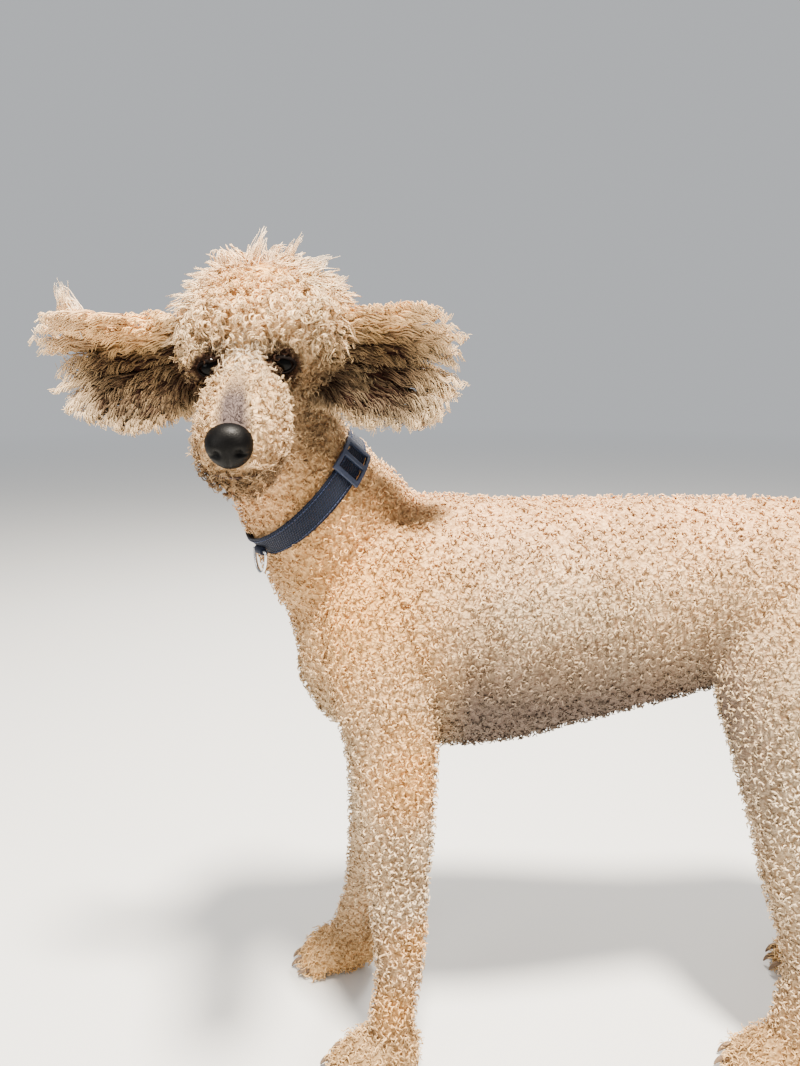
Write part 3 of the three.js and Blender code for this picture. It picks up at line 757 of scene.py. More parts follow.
class Atlas:
    """Finds the part of the skin that a place belongs to, and the place's own spot on that part's unwrap."""

    def __init__(self, surfaces):
        self.names = list(surfaces)
        steps = np.linspace(0, 1, ATLAS_STEPS)
        u, v = (x.ravel() for x in np.meshgrid(steps, steps))
        near = SMALL_STEP
        spots, slopes = [], []
        for place in surfaces.values():
            spots.append(place(u, v))
            sides = [place(u + near, v) - place(u - near, v), place(u, v + near) - place(u, v - near)]
            sides = np.stack(sides, axis=1) / (2 * near)
            slopes.append(sides / np.maximum((sides ** 2).sum(axis=2, keepdims=True), 1e-6))
        self.spots = np.concatenate(spots)
        self.slopes = np.concatenate(slopes)
        self.flats = np.tile(columns(u, v), (len(surfaces), 1))
        self.owners = np.repeat(np.arange(len(surfaces)), len(u))
        self.tree = tree_of(self.spots)

    def find(self, points):
        """The index of the part, and the place on its unwrap, for points in the dog's frame."""
        index = np.array([self.tree.find(point)[1] for point in points.tolist()])
        offset = points - self.spots[index]
        flat = self.flats[index] + (self.slopes[index] * offset[:, None]).sum(axis=2)
        return self.owners[index], np.clip(0.02 + 0.96 * flat, 0.01, 0.99)


# The coat: tapered curls and locks as joined meshes

PATCH = 0.003  # size of each tuft's patch on the unwrap
SIZE_SPREAD = (0.75, 1.25)  # of each curl's length and width
ROOT_WIDTH = 0.45  # of a curl, as a share of its full width
TIP_TAPER = 0.62
TIGHTER = 0.3  # how much the winding of a curl narrows towards its tip
GATHER = 0.7  # how much the strands of a lock draw together towards its tip


def tuft_mesh(name, paths, outs, half_widths, half_depths, uv, values, sides=3):
    """One mesh of closed tapered tubes: paths and outs are (tufts, rings, 3), in metres."""
    count, rings, _ = paths.shape
    spots = oval_rings(paths, unit(np.gradient(paths, axis=1)), outs, half_widths, half_depths, sides)
    quads, row, side = quads_between(rings, sides)
    quad_uv = np.stack([row / (rings - 1), side / sides], axis=-1)
    caps = np.stack([np.arange(sides)[::-1], np.arange(sides) + (rings - 1) * sides])
    cap_uv = np.zeros((2, sides, 2))
    cap_uv[1, :, 0] = 1
    cap_uv[:, :, 1] = 0.5 + 0.2 * np.cos(np.arange(sides) * 2 * math.pi / sides)
    corners = np.concatenate([quads.ravel(), caps.ravel()])
    loops = (corners + (np.arange(count) * rings * sides)[:, None]).ravel()
    loop_uv = np.concatenate([quad_uv.reshape(-1, 2), cap_uv.reshape(-1, 2)])
    loop_uv = uv[:, None, :] + PATCH * (loop_uv[None] - 0.5)
    totals = np.tile([4] * len(quads) + [sides] * 2, count)
    starts = np.concatenate([[0], np.cumsum(totals)[:-1]])
    mesh = bpy.data.meshes.new(name)
    mesh.vertices.add(len(spots))
    mesh.vertices.foreach_set("co", spots.ravel())
    mesh.loops.add(len(loops))
    mesh.loops.foreach_set("vertex_index", loops.astype(np.int32))
    mesh.polygons.add(len(starts))
    mesh.polygons.foreach_set("loop_start", starts.astype(np.int32))
    mesh.polygons.foreach_set("use_smooth", np.ones(len(starts), bool))
    mesh.uv_layers.new(name="OFBake").uv.foreach_set("vector", loop_uv.ravel())
    tip = np.sin(np.linspace(0, 1, rings) * math.pi * 0.62)
    for title, value in {**values, "tip": np.tile(tip, (count, 1))}.items():
        by_ring = np.broadcast_to(np.asarray(value, float).reshape(count, -1), (count, rings))
        set_share(mesh, title, np.repeat(by_ring, sides, axis=1).ravel())
    mesh.update(calc_edges=True)
    return linked(name, mesh)


def set_share(mesh, title, values):
    mesh.attributes.new(title, "FLOAT", "POINT").data.foreach_set("value", values.astype(np.float32))


def coil_paths(place, lie, length, radius, turns, stand, bend, rings, strands, spread):
    """Paths of curls and waves, in metres: each winds round an axis that leaves its root along the lie.

    A lock of several strands starts spread out by that many millimetres and gathers towards its tip.
    """
    count = len(lie)
    axis = unit(lie * np.cos(stand)[:, None] + place.normals * np.sin(stand)[:, None])
    first = unit(np.cross(axis, chance.normal(0, 1, (count, 3))))
    second = np.cross(axis, first) * chance.choice([-1.0, 1.0], (count, 1))
    spread = np.broadcast_to(np.asarray(spread) / 1000, count)
    lock = (place.spots, place.normals, axis, first, second, length / 1000, radius / 1000, turns, spread)
    lock = (np.repeat(x, strands, axis=0) for x in lock)
    roots, normals, axis, first, second, length, radius, turns, spread = lock
    count = len(roots)
    stray = first * chance.normal(0, 1, (count, 1)) + second * chance.normal(0, 1, (count, 1))
    stray = stray * spread[:, None]
    length = length * (1 + (strands > 1) * chance.uniform(-0.2, 0.12, count))
    phase = ((strands > 1) * chance.normal(0, 0.3, count))[:, None]
    radius = radius[:, None]
    s = np.linspace(0, 1, rings)[None, :]
    angle = 2 * math.pi * turns[:, None] * s + phase
    wind = radius * (1 - TIGHTER * s)
    ring = first[:, None] * (wind * np.cos(angle) - radius * np.cos(phase))[..., None]
    ring = ring + second[:, None] * (wind * np.sin(angle) - radius * np.sin(phase))[..., None]
    ring = ring + stray[:, None] * (1 - GATHER * s)[..., None]
    run = length[:, None] * s
    path = roots[:, None] + axis[:, None] * run[..., None] + ring
    path = path - normals[:, None] * (bend / 2 * run ** 2)[..., None]
    return path, np.broadcast_to(axis[:, None], path.shape)


def laid(lie, normals):
    """A direction of lie for every root, flat on the skin there."""
    lie = np.broadcast_to(np.asarray(lie, float), normals.shape)
    return unit(lie - normals * (lie * normals).sum(axis=1, keepdims=True))


def curls(name, place, material, *, length, radius, turns, width, lie, stand, wander, bend=0.0, rings=6,
          flat=0.6, shade=1.0, light=0.0, grey=0.0, strands=1, spread=0.0):
    """A piece of coat: a curl, or a lock of strands, at every root of place."""
    count = len(place.spots)
    vary = chance.uniform(*SIZE_SPREAD, count)
    lie = laid(lie, place.normals)
    lie = laid(lie + chance.normal(0, wander, (count, 3)), place.normals)
    stand = stand + chance.normal(0, 0.25, count)
    radius = radius * chance.uniform(0.8, 1.25, count)
    turns = turns * chance.uniform(0.8, 1.3, count)
    paths, outs = coil_paths(place, lie, length * vary, radius, turns, stand, bend, rings, strands, spread)
    paths[..., 2] = np.maximum(paths[..., 2], FLOOR_LEVEL + TUFT_FLOOR_GAP)
    s = np.linspace(0, 1, rings)[None, :]
    taper = np.minimum(1, ROOT_WIDTH + 2.6 * s) * (1 - TIP_TAPER * s ** 2)
    looks = (np.repeat(np.broadcast_to(x, count), strands) for x in (width, shade, light, grey))
    width, shade, light, grey = looks
    half = width[:, None] / 2000 * chance.uniform(*SIZE_SPREAD, len(paths))[:, None] * taper
    beside = np.tile((np.arange(strands) - (strands - 1) / 2) * 1.1 * PATCH, count)
    uv = np.clip(np.repeat(place.flat, strands, axis=0) + columns(beside, 0), 0.005, 0.995)
    tone = np.repeat(chance.uniform(0, 1, count), strands)
    tuft_piece(name, paths, outs, half, half * flat, uv, material, shade, light, tone, grey)


def tuft_piece(name, paths, outs, widths, depths, uv, material, shade, light, tone, grey=0.0):
    """A dressed piece of coat: shade is 1 in full colour and 0 in dark brown hair and painted shade, light
    whitens, grey greys.
    """
    count = len(paths)
    tone = 0.7 * tone + 0.3 * chance.uniform(0, 1, count)
    values = {"tone": tone, "shade": shade, "light": np.broadcast_to(light, count),
              "grey": np.broadcast_to(grey, count)}
    dress(tuft_mesh(name, paths, outs, widths, depths, uv, values), material, "curly_coat")


# Colours and finishes of the coat

# dark brown of darker hair, and of painted shade inside the ears, round the eyes, under the brows and on
# cheeks, throat, lips and chin
BROWN_AND_PAINTED_SHADE = srgb(32, 15, 9)
# grey of the bare skin on the bridge of the nose, also mixed in as painted shade on the lower flank and the
# right of the muzzle
LILAC_GREY = srgb(88, 76, 73)
APRICOT = srgb(255, 198, 120)
# painted shade on the coat
SHADED = srgb(150, 122, 90)
# painted shade: multiplies the coat's colour at the roots of curls and locks
ROOT_SHADE_TINT = (0.34, 0.25, 0.19)
# painted shade in the gaps between the undercoat's curls
GAP_SHADE_TINT = (0.30, 0.23, 0.17)
WHITISH = srgb(255, 244, 222)
HEIGHT_COLOURS = (  # of the coat, by metres over the floor
    (0.04, srgb(255, 214, 152)),
    (0.12, srgb(232, 200, 158)),
    (0.24, srgb(250, 226, 190)),
    (0.37, srgb(255, 234, 200)),
    # painted shade: darker and greyer low on the flank and belly
    (0.45, srgb(222, 202, 170)),
    (0.56, srgb(240, 214, 176)),
    (0.64, srgb(255, 210, 160)),
    (0.75, srgb(255, 226, 180)),
)
APRICOT_SPOTS = (  # on both sides of the body, and how far each reaches in metres
    ((-254, 95, 535), 0.15),  # shoulder
    ((-193, 108, 362), 0.07),  # elbow
    ((-196, 84, 172), 0.045),  # wrist
    ((-216, 96, 96), 0.05),  # pastern
)
APRICOT_ON_HEAD = (  # the upper edge of both ears, and the top of the topknot
    ((-118, -52, 24), 0.075),
    ((118, -52, 24), 0.075),
    ((-8, -30, 76), 0.06),
)
# painted shade on both cheeks and on the right side of the muzzle
SHADED_ON_HEAD = (((-58, -6, -30), 0.05), ((58, -4, -30), 0.065), ((34, 40, -46), 0.04))
APRICOT_PLACES = [(metres((x, s * y, z)), reach) for (x, y, z), reach in APRICOT_SPOTS for s in (-1, 1)]
APRICOT_PLACES += [(metres(on_head(spot)), reach) for spot, reach in APRICOT_ON_HEAD]
SHADED_PLACES = [(metres(on_head(spot)), reach) for spot, reach in SHADED_ON_HEAD]


def fleece():
    """Curly coat: painted shade darkens each tuft towards its root, each tuft its own tone, with soft warm
    patches over the body.
    """
    finish = Finish("fleece", Roughness=0.85, Specular_IOR_Level=0.08)
    tone = finish.attribute("tone")
    # painted shade at the roots, mixed with each tuft's own tone
    depth = (finish.attribute("tip") ** 0.7) * 0.55 + tone * 0.45
    coat = finish.coat_colour()
    colour = finish.mix(depth, finish.darker(coat, ROOT_SHADE_TINT), coat)
    colour = finish.mix(finish.attribute("light"), colour, WHITISH)
    colour = finish.mix(finish.attribute("grey"), colour, LILAC_GREY)
    fuzz = finish.noise(900.0, 3.0, 0.7)
    # painted shade and dark hair: shade mixes the colour towards dark brown
    return finish.set(Base_Color=finish.mix(finish.attribute("shade"), BROWN_AND_PAINTED_SHADE, colour),
                      Normal=finish.bump(fuzz, 0.0008, 0.7))


def skin_finish():
    """Undercoat: close curls with painted shade in the gaps, and smooth under the short hair on the bridge of
    the nose.
    """
    finish = Finish("undercoat", Roughness=0.9, Specular_IOR_Level=0.08)
    swirl = finish.node("TexNoise", inputs={"Vector": finish.place(), "Scale": 150.0}, output="Color")
    moved = finish.vector("ADD", finish.place(), finish.vector("SCALE", swirl, Scale=0.006))
    cells = finish.node("TexVoronoi", {"feature": "SMOOTH_F1"}, {"Vector": moved, "Scale": 330.0}, "Distance")
    gaps = finish.rise(cells, 0.25, 0.75)
    coat = finish.coat_colour()
    # painted shade darkens the gaps between the close curls
    colour = finish.mix(gaps * 0.6 + 0.4, coat, finish.darker(coat, GAP_SHADE_TINT))
    colour = finish.mix(finish.attribute("grey"), colour, LILAC_GREY)
    # painted shade and dark hair: shade mixes the colour towards dark brown
    colour = finish.mix(finish.attribute("shade"), BROWN_AND_PAINTED_SHADE, colour)
    height = (1 - gaps) * (1 - finish.attribute("bridge"))
    return finish.set(Base_Color=colour, Normal=finish.bump(height, 0.0022, 0.8))


def bridge_share(at):
    """How far each spot of the head's frame is on the grey end of the bridge of the nose, from 0 to 1."""
    width = np.clip(5 + 0.15 * (at[:, 1] - 30), 3, 16)
    across = clamped(1.3 - 1.3 * (np.abs(at[:, 0] - 1) / width) ** 2)
    return across * clamped((at[:, 1] - 28) / 58) * clamped((at[:, 2] + 34) / 10)


def flank_grey_and_shade(points):
    """How grey the lower flank is between fore and hind legs, from 0 to 1: partly its own grey, partly
    painted shade.
    """
    lengthwise = clamped((points[:, 0] + 190) / 50) * clamped((170 - points[:, 0]) / 60)
    return 0.85 * lengthwise * clamped((550 - points[:, 2]) / 130)


EAR_BROWN_AND_SHADE = {  # how deep the brown and painted shade near the head, its fall outwards, how deep below the middle, and its fall upwards
    "left": (2.9, 2.2, 1.8, 2.8),
    "right": (2.8, 2.0, 1.5, 3.0),
}


def ear_brown_and_shade(side, out, high):
    """How dark the inner side of an ear is, partly brown hair and partly painted shade: deepest below its
    middle and near the head, cream at the rim.
    """
    near, outwards, low, upwards = EAR_BROWN_AND_SHADE[side]
    share = (out - 50) / 92
    rim = clamped(0.55 + 3.0 * (1 - np.abs(high)))
    root = 0.7 * clamped(1 - 2.5 * share)
    return clamped(near - outwards * share) * clamped(low + root - upwards * high) * rim


NOSE_CLEAR = (19, 15, 18)  # half sizes of the room without tufts round the nose
LID_CLEAR = (10.5, 14, 8.5)  # and in the opening of the lids
BAND_REACH = 100  # farther than this from the collar's middle, nothing lies under the band
LID_DARK = (19.5, 6)  # how far the dark hair and painted shade round an eye reach, and how soft their edge is
LID_SHORT = (27, 9)  # the same for hair that stays short
BROW_SHORT = (34, 14)  # the same for the ringlets of the brow


def skin_shade(at):
    """1 in full colour, less in the dark hair and painted shade round the eyes, on the face and inside the
    ears.
    """
    shade = face_shade(at)
    for side, s in zip(SIDES, (-1, 1)):
        out = s * at[:, 0]
        _, high = ear_sheet(side, out, at[:, 2])
        on_ear = clamped((out - 58) / 8) * (at[:, 1] > -60) * (np.abs(high) < 1.2)
        # brown hair and painted shade inside the ears
        shade = np.minimum(shade, 1 - on_ear * ear_brown_and_shade(side, out, high))
    return shade


def mark_skin(skin):
    place = Places(spots_of(skin))
    bridge = bridge_share(place.head)
    # grey: the bridge's own grey, and the lower flank's grey with painted shade
    set_share(skin.data, "grey", np.maximum(bridge, flank_grey_and_shade(place.dog)))
    set_share(skin.data, "bridge", bridge)
    set_share(skin.data, "shade", skin_shade(place.head))


def face_shade(at):
    """1 in full colour, less in the darker hair and painted shade round the eyes and at lips and chin, and in
    painted shade under the brows and on cheeks and throat.
    """
    side, ahead, up = np.abs(at[:, 0]), at[:, 1], at[:, 2]
    front = clamped((ahead - 50) / 20)
    # lips and chin: browner hair, and painted shade in the fold under the lip
    lips = front * bell((up + 60) / 5)
    chin = front * clamped((-60 - up) / 8)
    # painted shadow under the brows, and painted shade on the cheeks and the throat
    over_eyes = (ahead > -30) * bell((side - 25) / 13, (up - 14) / 7)
    cheeks = bell((side - 60) / 17, (up + 26) / 24)
    throat = clamped((30 - ahead) / 30) * bell((side - 46) / 24, (up + 70) / 36)
    shade = (1 - 0.97 * near_eyes(at, *LID_DARK)) * (1 - 0.75 * lips) * (1 - 0.4 * chin)
    return shade * (1 - 0.6 * over_eyes) * (1 - 0.6 * cheeks) * (1 - 0.65 * throat)


def eye_spot(s, forward=0.0, up=0.0):
    return np.array([s * EYE_HALF_SPACING, EYE_FORWARD + forward, up])


def near_eyes(at, reach, fade):
    """How close each spot of the head's frame is to an eye: 0 from reach on, 1 from fade nearer."""
    gaps = [np.linalg.norm((at - eye_spot(s, 6, -1)) / (1.0, 1.3, 0.9), axis=1) for s in (-1, 1)]
    return clamped((reach - np.minimum(*gaps)) / fade)


def bare(place):
    """Where no tuft is rooted: the openings of the lids, the nose and under the band of the collar."""
    at = place.head
    found = np.linalg.norm((at - NOSE_MIDDLE) / NOSE_CLEAR, axis=1) < 1
    for s in (-1, 1):
        found |= np.linalg.norm((at - eye_spot(s, 8, -1)) / LID_CLEAR, axis=1) < 1
    from_band = place.dog - COLLAR_MIDDLE
    under_band = np.abs(from_band @ COLLAR_AXIS) < COLLAR_WIDTH / 2
    found |= under_band & (np.linalg.norm(from_band, axis=1) < BAND_REACH)
    return found


def surfaces_of_skin():
    """Each part of the skin as a function of its unwrap, in the dog's frame."""
    swept_parts = {name: sweep for name, sweep in SKIN.items() if name != "topknot"}
    swept_parts.update({"paw_" + name: paw_sweep(ankle) for name, ankle in ANKLES.items()})
    parts = {}
    for name, sweep in swept_parts.items():
        parts[name] = lambda u, v, sweep=sweep: sweep.point(u, 2 * math.pi * v)
    for side in SIDES:
        parts["ear_" + side] = lambda u, v, side=side: on_head(ear_point(side, u * FLAP_REACH, 2 * v - 1))
    return parts


class Places:
    """Spots of the row's frame, and the same spots in millimetres in the dog's frame and in the head's."""

    def __init__(self, spots):
        self.spots = spots
        self.dog = millimetres(spots)
        self.head = in_head(self.dog)


class Field:
    """Sows the roots of a part's tufts over the skin."""

    def __init__(self, ground):
        self.ground = ground
        self.atlas = Atlas(surfaces_of_skin())
        self.middles = Places(ground.middles)
        self.owners, _ = self.atlas.find(self.middles.dog)
        self.clear = ~bare(self.middles)

    def sow(self, gap, part, only=None):
        """Roots at least gap millimetres apart, with their normals and their spots on the unwrap."""
        wanted = (self.owners == self.atlas.names.index(part)) & self.clear
        if only:
            wanted &= only(self.middles)
        roots, normals = self.ground.scatter(gap, wanted)
        place = Places(roots)
        place.normals = normals
        _, place.flat = self.atlas.find(place.dog)
        return place


CROWN = np.array([-10, -48, 30])  # where the hair of the topknot parts
BROW_FRONT = -26  # how far forward the topknot's straighter hair reaches


def above_brow(at):
    return at[:, 2] > 13 + 0.22 * at[:, 1]


def coat_all_over(ground, coat):
    field = Field(ground)
    for cover in (coat_body, coat_legs, coat_topknot, coat_face, coat_muzzle, coat_bridge):
        cover(field, coat)


def coat_body(field, coat):
    for name, low, high in (("chest", -400, -130), ("loin", -130, 75), ("rump", 75, 400)):
        place = field.sow(4.5, "torso", lambda at: (at.dog[:, 0] > low) & (at.dog[:, 0] <= high))
        # grey on the lower flank: partly its own grey, partly painted shade
        curls("coat_" + name, place, coat, length=4.8, radius=2.3, turns=1.0, width=2.8, lie=(0.7, 0, -0.7),
              stand=0.9, wander=1.2, grey=flank_grey_and_shade(place.dog))
    place = field.sow(4.4, "neck")
    # shade: painted shade on the throat under the jaw
    curls("coat_neck", place, coat, length=5.4, radius=2.4, turns=1.0, width=2.6, lie=(0.6, 0.2, -0.8),
          stand=0.8, wander=1.0, shade=face_shade(place.head))
    curls("coat_tail", field.sow(5.2, "tail"), coat, length=15, radius=2.6, turns=2.0, width=2.6,
          lie=(0.1, 0, 1), stand=0.75, wander=0.4, rings=12)


def coat_legs(field, coat):
    for side in SIDES:
        for leg in ("fore_leg_", "hind_leg_"):
            place = field.sow(4.0, leg + side)
            low = clamped((500 - place.spots[:, 2] * 1000) / 200)
            curls("coat_" + leg + side, place, coat, length=4.6 + 0.8 * low, radius=2.0, turns=0.85,
                  width=2.6 + 0.2 * low, lie=(0.1, 0, -1), stand=0.9, wander=1.2, rings=5, flat=0.7,
                  light=0.06 * low)
    for name, ankle in ANKLES.items():
        place = field.sow(3.6, "paw_" + name)
        ahead = clamped((ankle[0] - 28 - place.dog[:, 0]) / 20)
        curls("coat_paw_" + name, place, coat, length=8 + 6 * ahead, radius=2.0, turns=1.1, width=2.1,
              lie=(-0.8, 0, -0.6), stand=0.5 - 0.3 * ahead, wander=0.7, rings=7)


def coat_topknot(field, coat):
    """Straighter hair that leaves the crown all round, and ringlets over the brow and the sides."""
    place = field.sow(4.1, "skull", lambda at: above_brow(at.head) & (at.head[:, 1] < BROW_FRONT))
    low = clamped((34 - place.head[:, 2]) / 40)
    away = unit((place.head - CROWN) * (1, 1, 0.7)) - columns(0, 0, low)
    # light: whiter hair, and painted light on the top of the crown
    curls("coat_topknot", place, coat, length=22 - 9 * low, radius=1.1 + 1.7 * low, turns=1.1 + 0.6 * low,
          width=1.25, light=0.25 - 0.15 * low, lie=away @ HEAD_AXES.T, stand=0.65, wander=0.35, bend=12.0,
          rings=8, strands=4, spread=1.8 - 0.6 * low)
    place = field.sow(3.6, "skull", lambda at: above_brow(at.head) & (at.head[:, 1] >= BROW_FRONT))
    low = clamped((40 - place.head[:, 2]) / 26)
    eyes = near_eyes(place.head, *BROW_SHORT)
    away = unit(place.head - CROWN) + columns(0, 0.35, -0.6 - 0.6 * low)
    curls("coat_brow", place, coat, length=13 + 4 * low - 8 * eyes, radius=2.7 - 0.8 * eyes, turns=1.5,
          width=1.3, lie=away @ HEAD_AXES.T, stand=0.8 - 0.3 * low, wander=0.45, bend=14.0, rings=9,
          light=0.08, strands=4, spread=1.2, shade=face_shade(place.head))


def coat_face(field, coat):
    """Small ringlets over the cheeks, shorter round the eyes, darker with dark hair and painted shade round
    the eyes and with painted shade on the cheeks.
    """
    place = field.sow(3.5, "skull", lambda at: ~above_brow(at.head))
    side = place.head[:, 0]
    eyes = near_eyes(place.head, *LID_SHORT)
    away = columns(side / 60, -0.4, -0.9)
    curls("coat_face", place, coat, length=9.5 - 6 * eyes, radius=2.6 - 1.6 * eyes, turns=1.3,
          width=1.3 - 0.3 * eyes, lie=away @ HEAD_AXES.T, stand=0.7 - 0.4 * eyes, wander=0.7, rings=8,
          shade=face_shade(place.head), strands=3, spread=0.9, light=0.5 * bell(side / 15))


def coat_muzzle(field, coat):
    """Short hair, whitish between the eyes, browner with painted shade round the lips, a little grey all
    over, and greyer on the right with painted shade.
    """
    place = field.sow(3.6, "muzzle", lambda at: bridge_share(at.head) < 0.4)
    side, ahead, up = place.head.T
    bridge = bridge_share(place.head)
    curly = clamped(1 - 2 * bridge)
    back = clamped((70 - ahead) / 70)
    between = bell(side / 15) * clamped((62 - ahead) / 25) * (up > -30)
    away = columns(side / 40, -0.7, -0.6 + 0.5 * bridge)
    # grey: the bridge's own grey, a little grey all over, and painted shade on the right side
    curls("coat_muzzle", place, coat, length=3.0 + 4.4 * curly + 1.5 * back, radius=0.6 + 1.7 * curly,
          turns=0.4 + 0.8 * curly, width=1.25, lie=away @ HEAD_AXES.T, stand=0.25 + 0.45 * curly, wander=0.6,
          rings=7, strands=3, spread=0.9, light=0.5 * between, shade=face_shade(place.head),
          grey=np.maximum(bridge, 0.26 + 0.16 * clamped(side / 30)))


def coat_bridge(field, coat):
    """Very short grey hair that lies back along the bridge of the nose."""
    place = field.sow(0.95, "muzzle", lambda at: bridge_share(at.head) > 0.08)
    curls("coat_bridge", place, coat, length=3.6, radius=0.2, turns=0.4, width=0.8,
          lie=np.array([0.0, -1.0, 0.35]) @ HEAD_AXES.T, stand=0.2, wander=0.5, rings=4,
          grey=bridge_share(place.head))


# Ears: leather flaps in the skin, covered on both faces by long wavy locks that blow outwards

EAR_GUIDES = 200
EAR_STRANDS = 10
EAR_ROOT_GUIDES = 0.2  # share of the guides that start at the lower half of the root
EAR_STEPS = np.linspace(0, 1, 15)[None, :] ** 0.78  # closer towards the curled tips
EAR_NEAR, EAR_SPAN = 42, 100  # where the roots of the locks start, and how much farther out they go
EAR_FOCUS = (12, 6)  # out and up from the head's middle: the hair of an ear fans out from here
FORWARD = HEAD_AXES @ (0, 1.0, 0)


def ear_outline(side, out):
    """The depth, middle and half height of an ear's sheet, at distances out from the head's middle."""
    reach, depth, middle, half = np.array(EAR[side], float).T
    return [np.interp(out, np.abs(reach), column) for column in (depth, middle, half)]


def ear_sheet(side, out, up):
    """The depth of an ear's sheet, cupped towards the face, and how high on it a place lies, from -1 to 1."""
    depth, middle, half = ear_outline(side, out)
    high = (up - middle) / half
    return depth + EAR_CUP * np.minimum(high ** 2, 1.4), high


def ear_room(side, out, up, way, longest):
    """How far a lock can run from a place, along its way, before it leaves the outline of the ear."""
    far = abs(EAR[side][-1][0])
    steps = np.linspace(0, 1, 24)[None, :] * longest[:, None]
    run_out = out[:, None] + way[:, :1] * steps
    high = ear_sheet(side, run_out, up[:, None] + way[:, 1:] * steps)[1]
    rounding = np.sqrt(clamped(1 - (np.clip(run_out - far + 24, 0, 40) / 36) ** 2))
    inside = (np.abs(high) < 0.97 * rounding + 0.02) & (run_out < far + 6)
    return (steps * np.cumprod(inside, axis=1)).max(axis=1)


def per_guide(low, high):
    return np.repeat(chance.uniform(low, high, EAR_GUIDES), EAR_STRANDS)


def make_ears(coat):
    """Long wavy hair on both faces of each ear: guides, and strands that gather on them towards the tips."""
    count = EAR_GUIDES * EAR_STRANDS
    for side in SIDES:
        at_root = per_guide(0, 1) < EAR_ROOT_GUIDES
        share = np.where(at_root, per_guide(0, 0.3), per_guide(0, 1) ** 0.8)
        out = EAR_NEAR + EAR_SPAN * share
        _, middle, half = ear_outline(side, out)
        high = np.where(at_root, per_guide(-0.9, 0.0), per_guide(-0.95, 0.9) * clamped(0.9 + share))
        up = middle + half * high
        way = unit(columns(out - EAR_FOCUS[0], up - EAR_FOCUS[1]))
        way = unit(way + columns(per_guide(-0.12, 0.12), per_guide(-0.2, 0.2)))
        room = ear_room(side, out, up, way, per_guide(34, 52))
        length = (room + per_guide(1, 8)) * chance.uniform(0.86, 1.05, count)
        front = per_guide(0, 1) > 0.4
        strands = ear_strands(side, out, up, way, length, front)
        half_width = chance.uniform(0.65, 1.2, count)[:, None] / 1000 * (1 - 0.7 * EAR_STEPS ** 1.5)
        ring_out = np.abs(strands[..., 0])
        ring_high = ear_sheet(side, ring_out, strands[..., 2])[1]
        # brown: the ear's brown hair and painted shade, deepest near the head and below the middle
        brown = ear_brown_and_shade(side, ring_out, ring_high) * (1 - 0.25 * EAR_STEPS)
        brown = brown * (0.8 + 0.2 * front)[:, None]
        shade = clamped(1 - brown + chance.uniform(-0.1, 0.1, count)[:, None])
        flat = columns(0.05 + 0.9 * share, 0.25 + 0.2 * high + 0.5 * front)
        flat = np.clip(flat + chance.normal(0, 0.006, flat.shape), 0.01, 0.99)
        outs = np.broadcast_to(FORWARD, strands.shape)
        tuft_piece("coat_ear_" + side, metres(on_head(strands)), outs, half_width, half_width * 0.5, flat,
                   coat, shade, 0.12 * share, per_guide(0, 1))


def ear_strands(side, out, up, way, length, front):
    """The paths of an ear's strands in the head's frame."""
    count = len(out)
    s = EAR_STEPS
    stray = chance.normal(0, 2.4, (count, 2))[..., None] * (1 - 0.6 * s)
    phase, turns = per_guide(0, 2 * math.pi)[:, None], per_guide(2.2, 3.8)[:, None]
    turn = phase + 2 * math.pi * turns * (0.4 * s + 0.6 * s ** 2)
    turn = turn + chance.normal(0, 0.35, count)[:, None]
    wave = per_guide(1.4, 3.2)[:, None] * (0.35 + 1.1 * s ** 1.5)
    run = length[:, None] * s
    x = out[:, None] + stray[:, 0] + way[:, :1] * run - way[:, 1:] * wave * np.cos(turn)
    z = up[:, None] + stray[:, 1] + way[:, 1:] * run + way[:, :1] * wave * np.cos(turn) - 5 * s ** 2
    lift = np.where(front, 1.0, -1.0) * (FLAP_THICKNESS * 0.7 + per_guide(0.5, 6.5))
    y = ear_sheet(side, x, z)[0] + lift[:, None] * np.sin(0.5 + 2.2 * s) + wave * np.sin(turn)
    return columns(x if side == "right" else -x, y, z)


# Tufts that stand up: wisps at the back of the topknot, and one at the far end of the right ear

WISPS = [
    ((-8, -56, 62), (-18, -50, 97)),
    ((-28, -56, 60), (-48, -50, 93)),
    ((-20, -58, 60), (-34, -54, 84)),
    ((-48, -54, 50), (-70, -48, 74)),
    ((-60, -56, 42), (-82, -52, 58)),
    ((14, -58, 60), (14, -54, 80)),
]
WISP_STRANDS = 34
EAR_TUFT = ((146, -52, 24), (158, -50, 58))


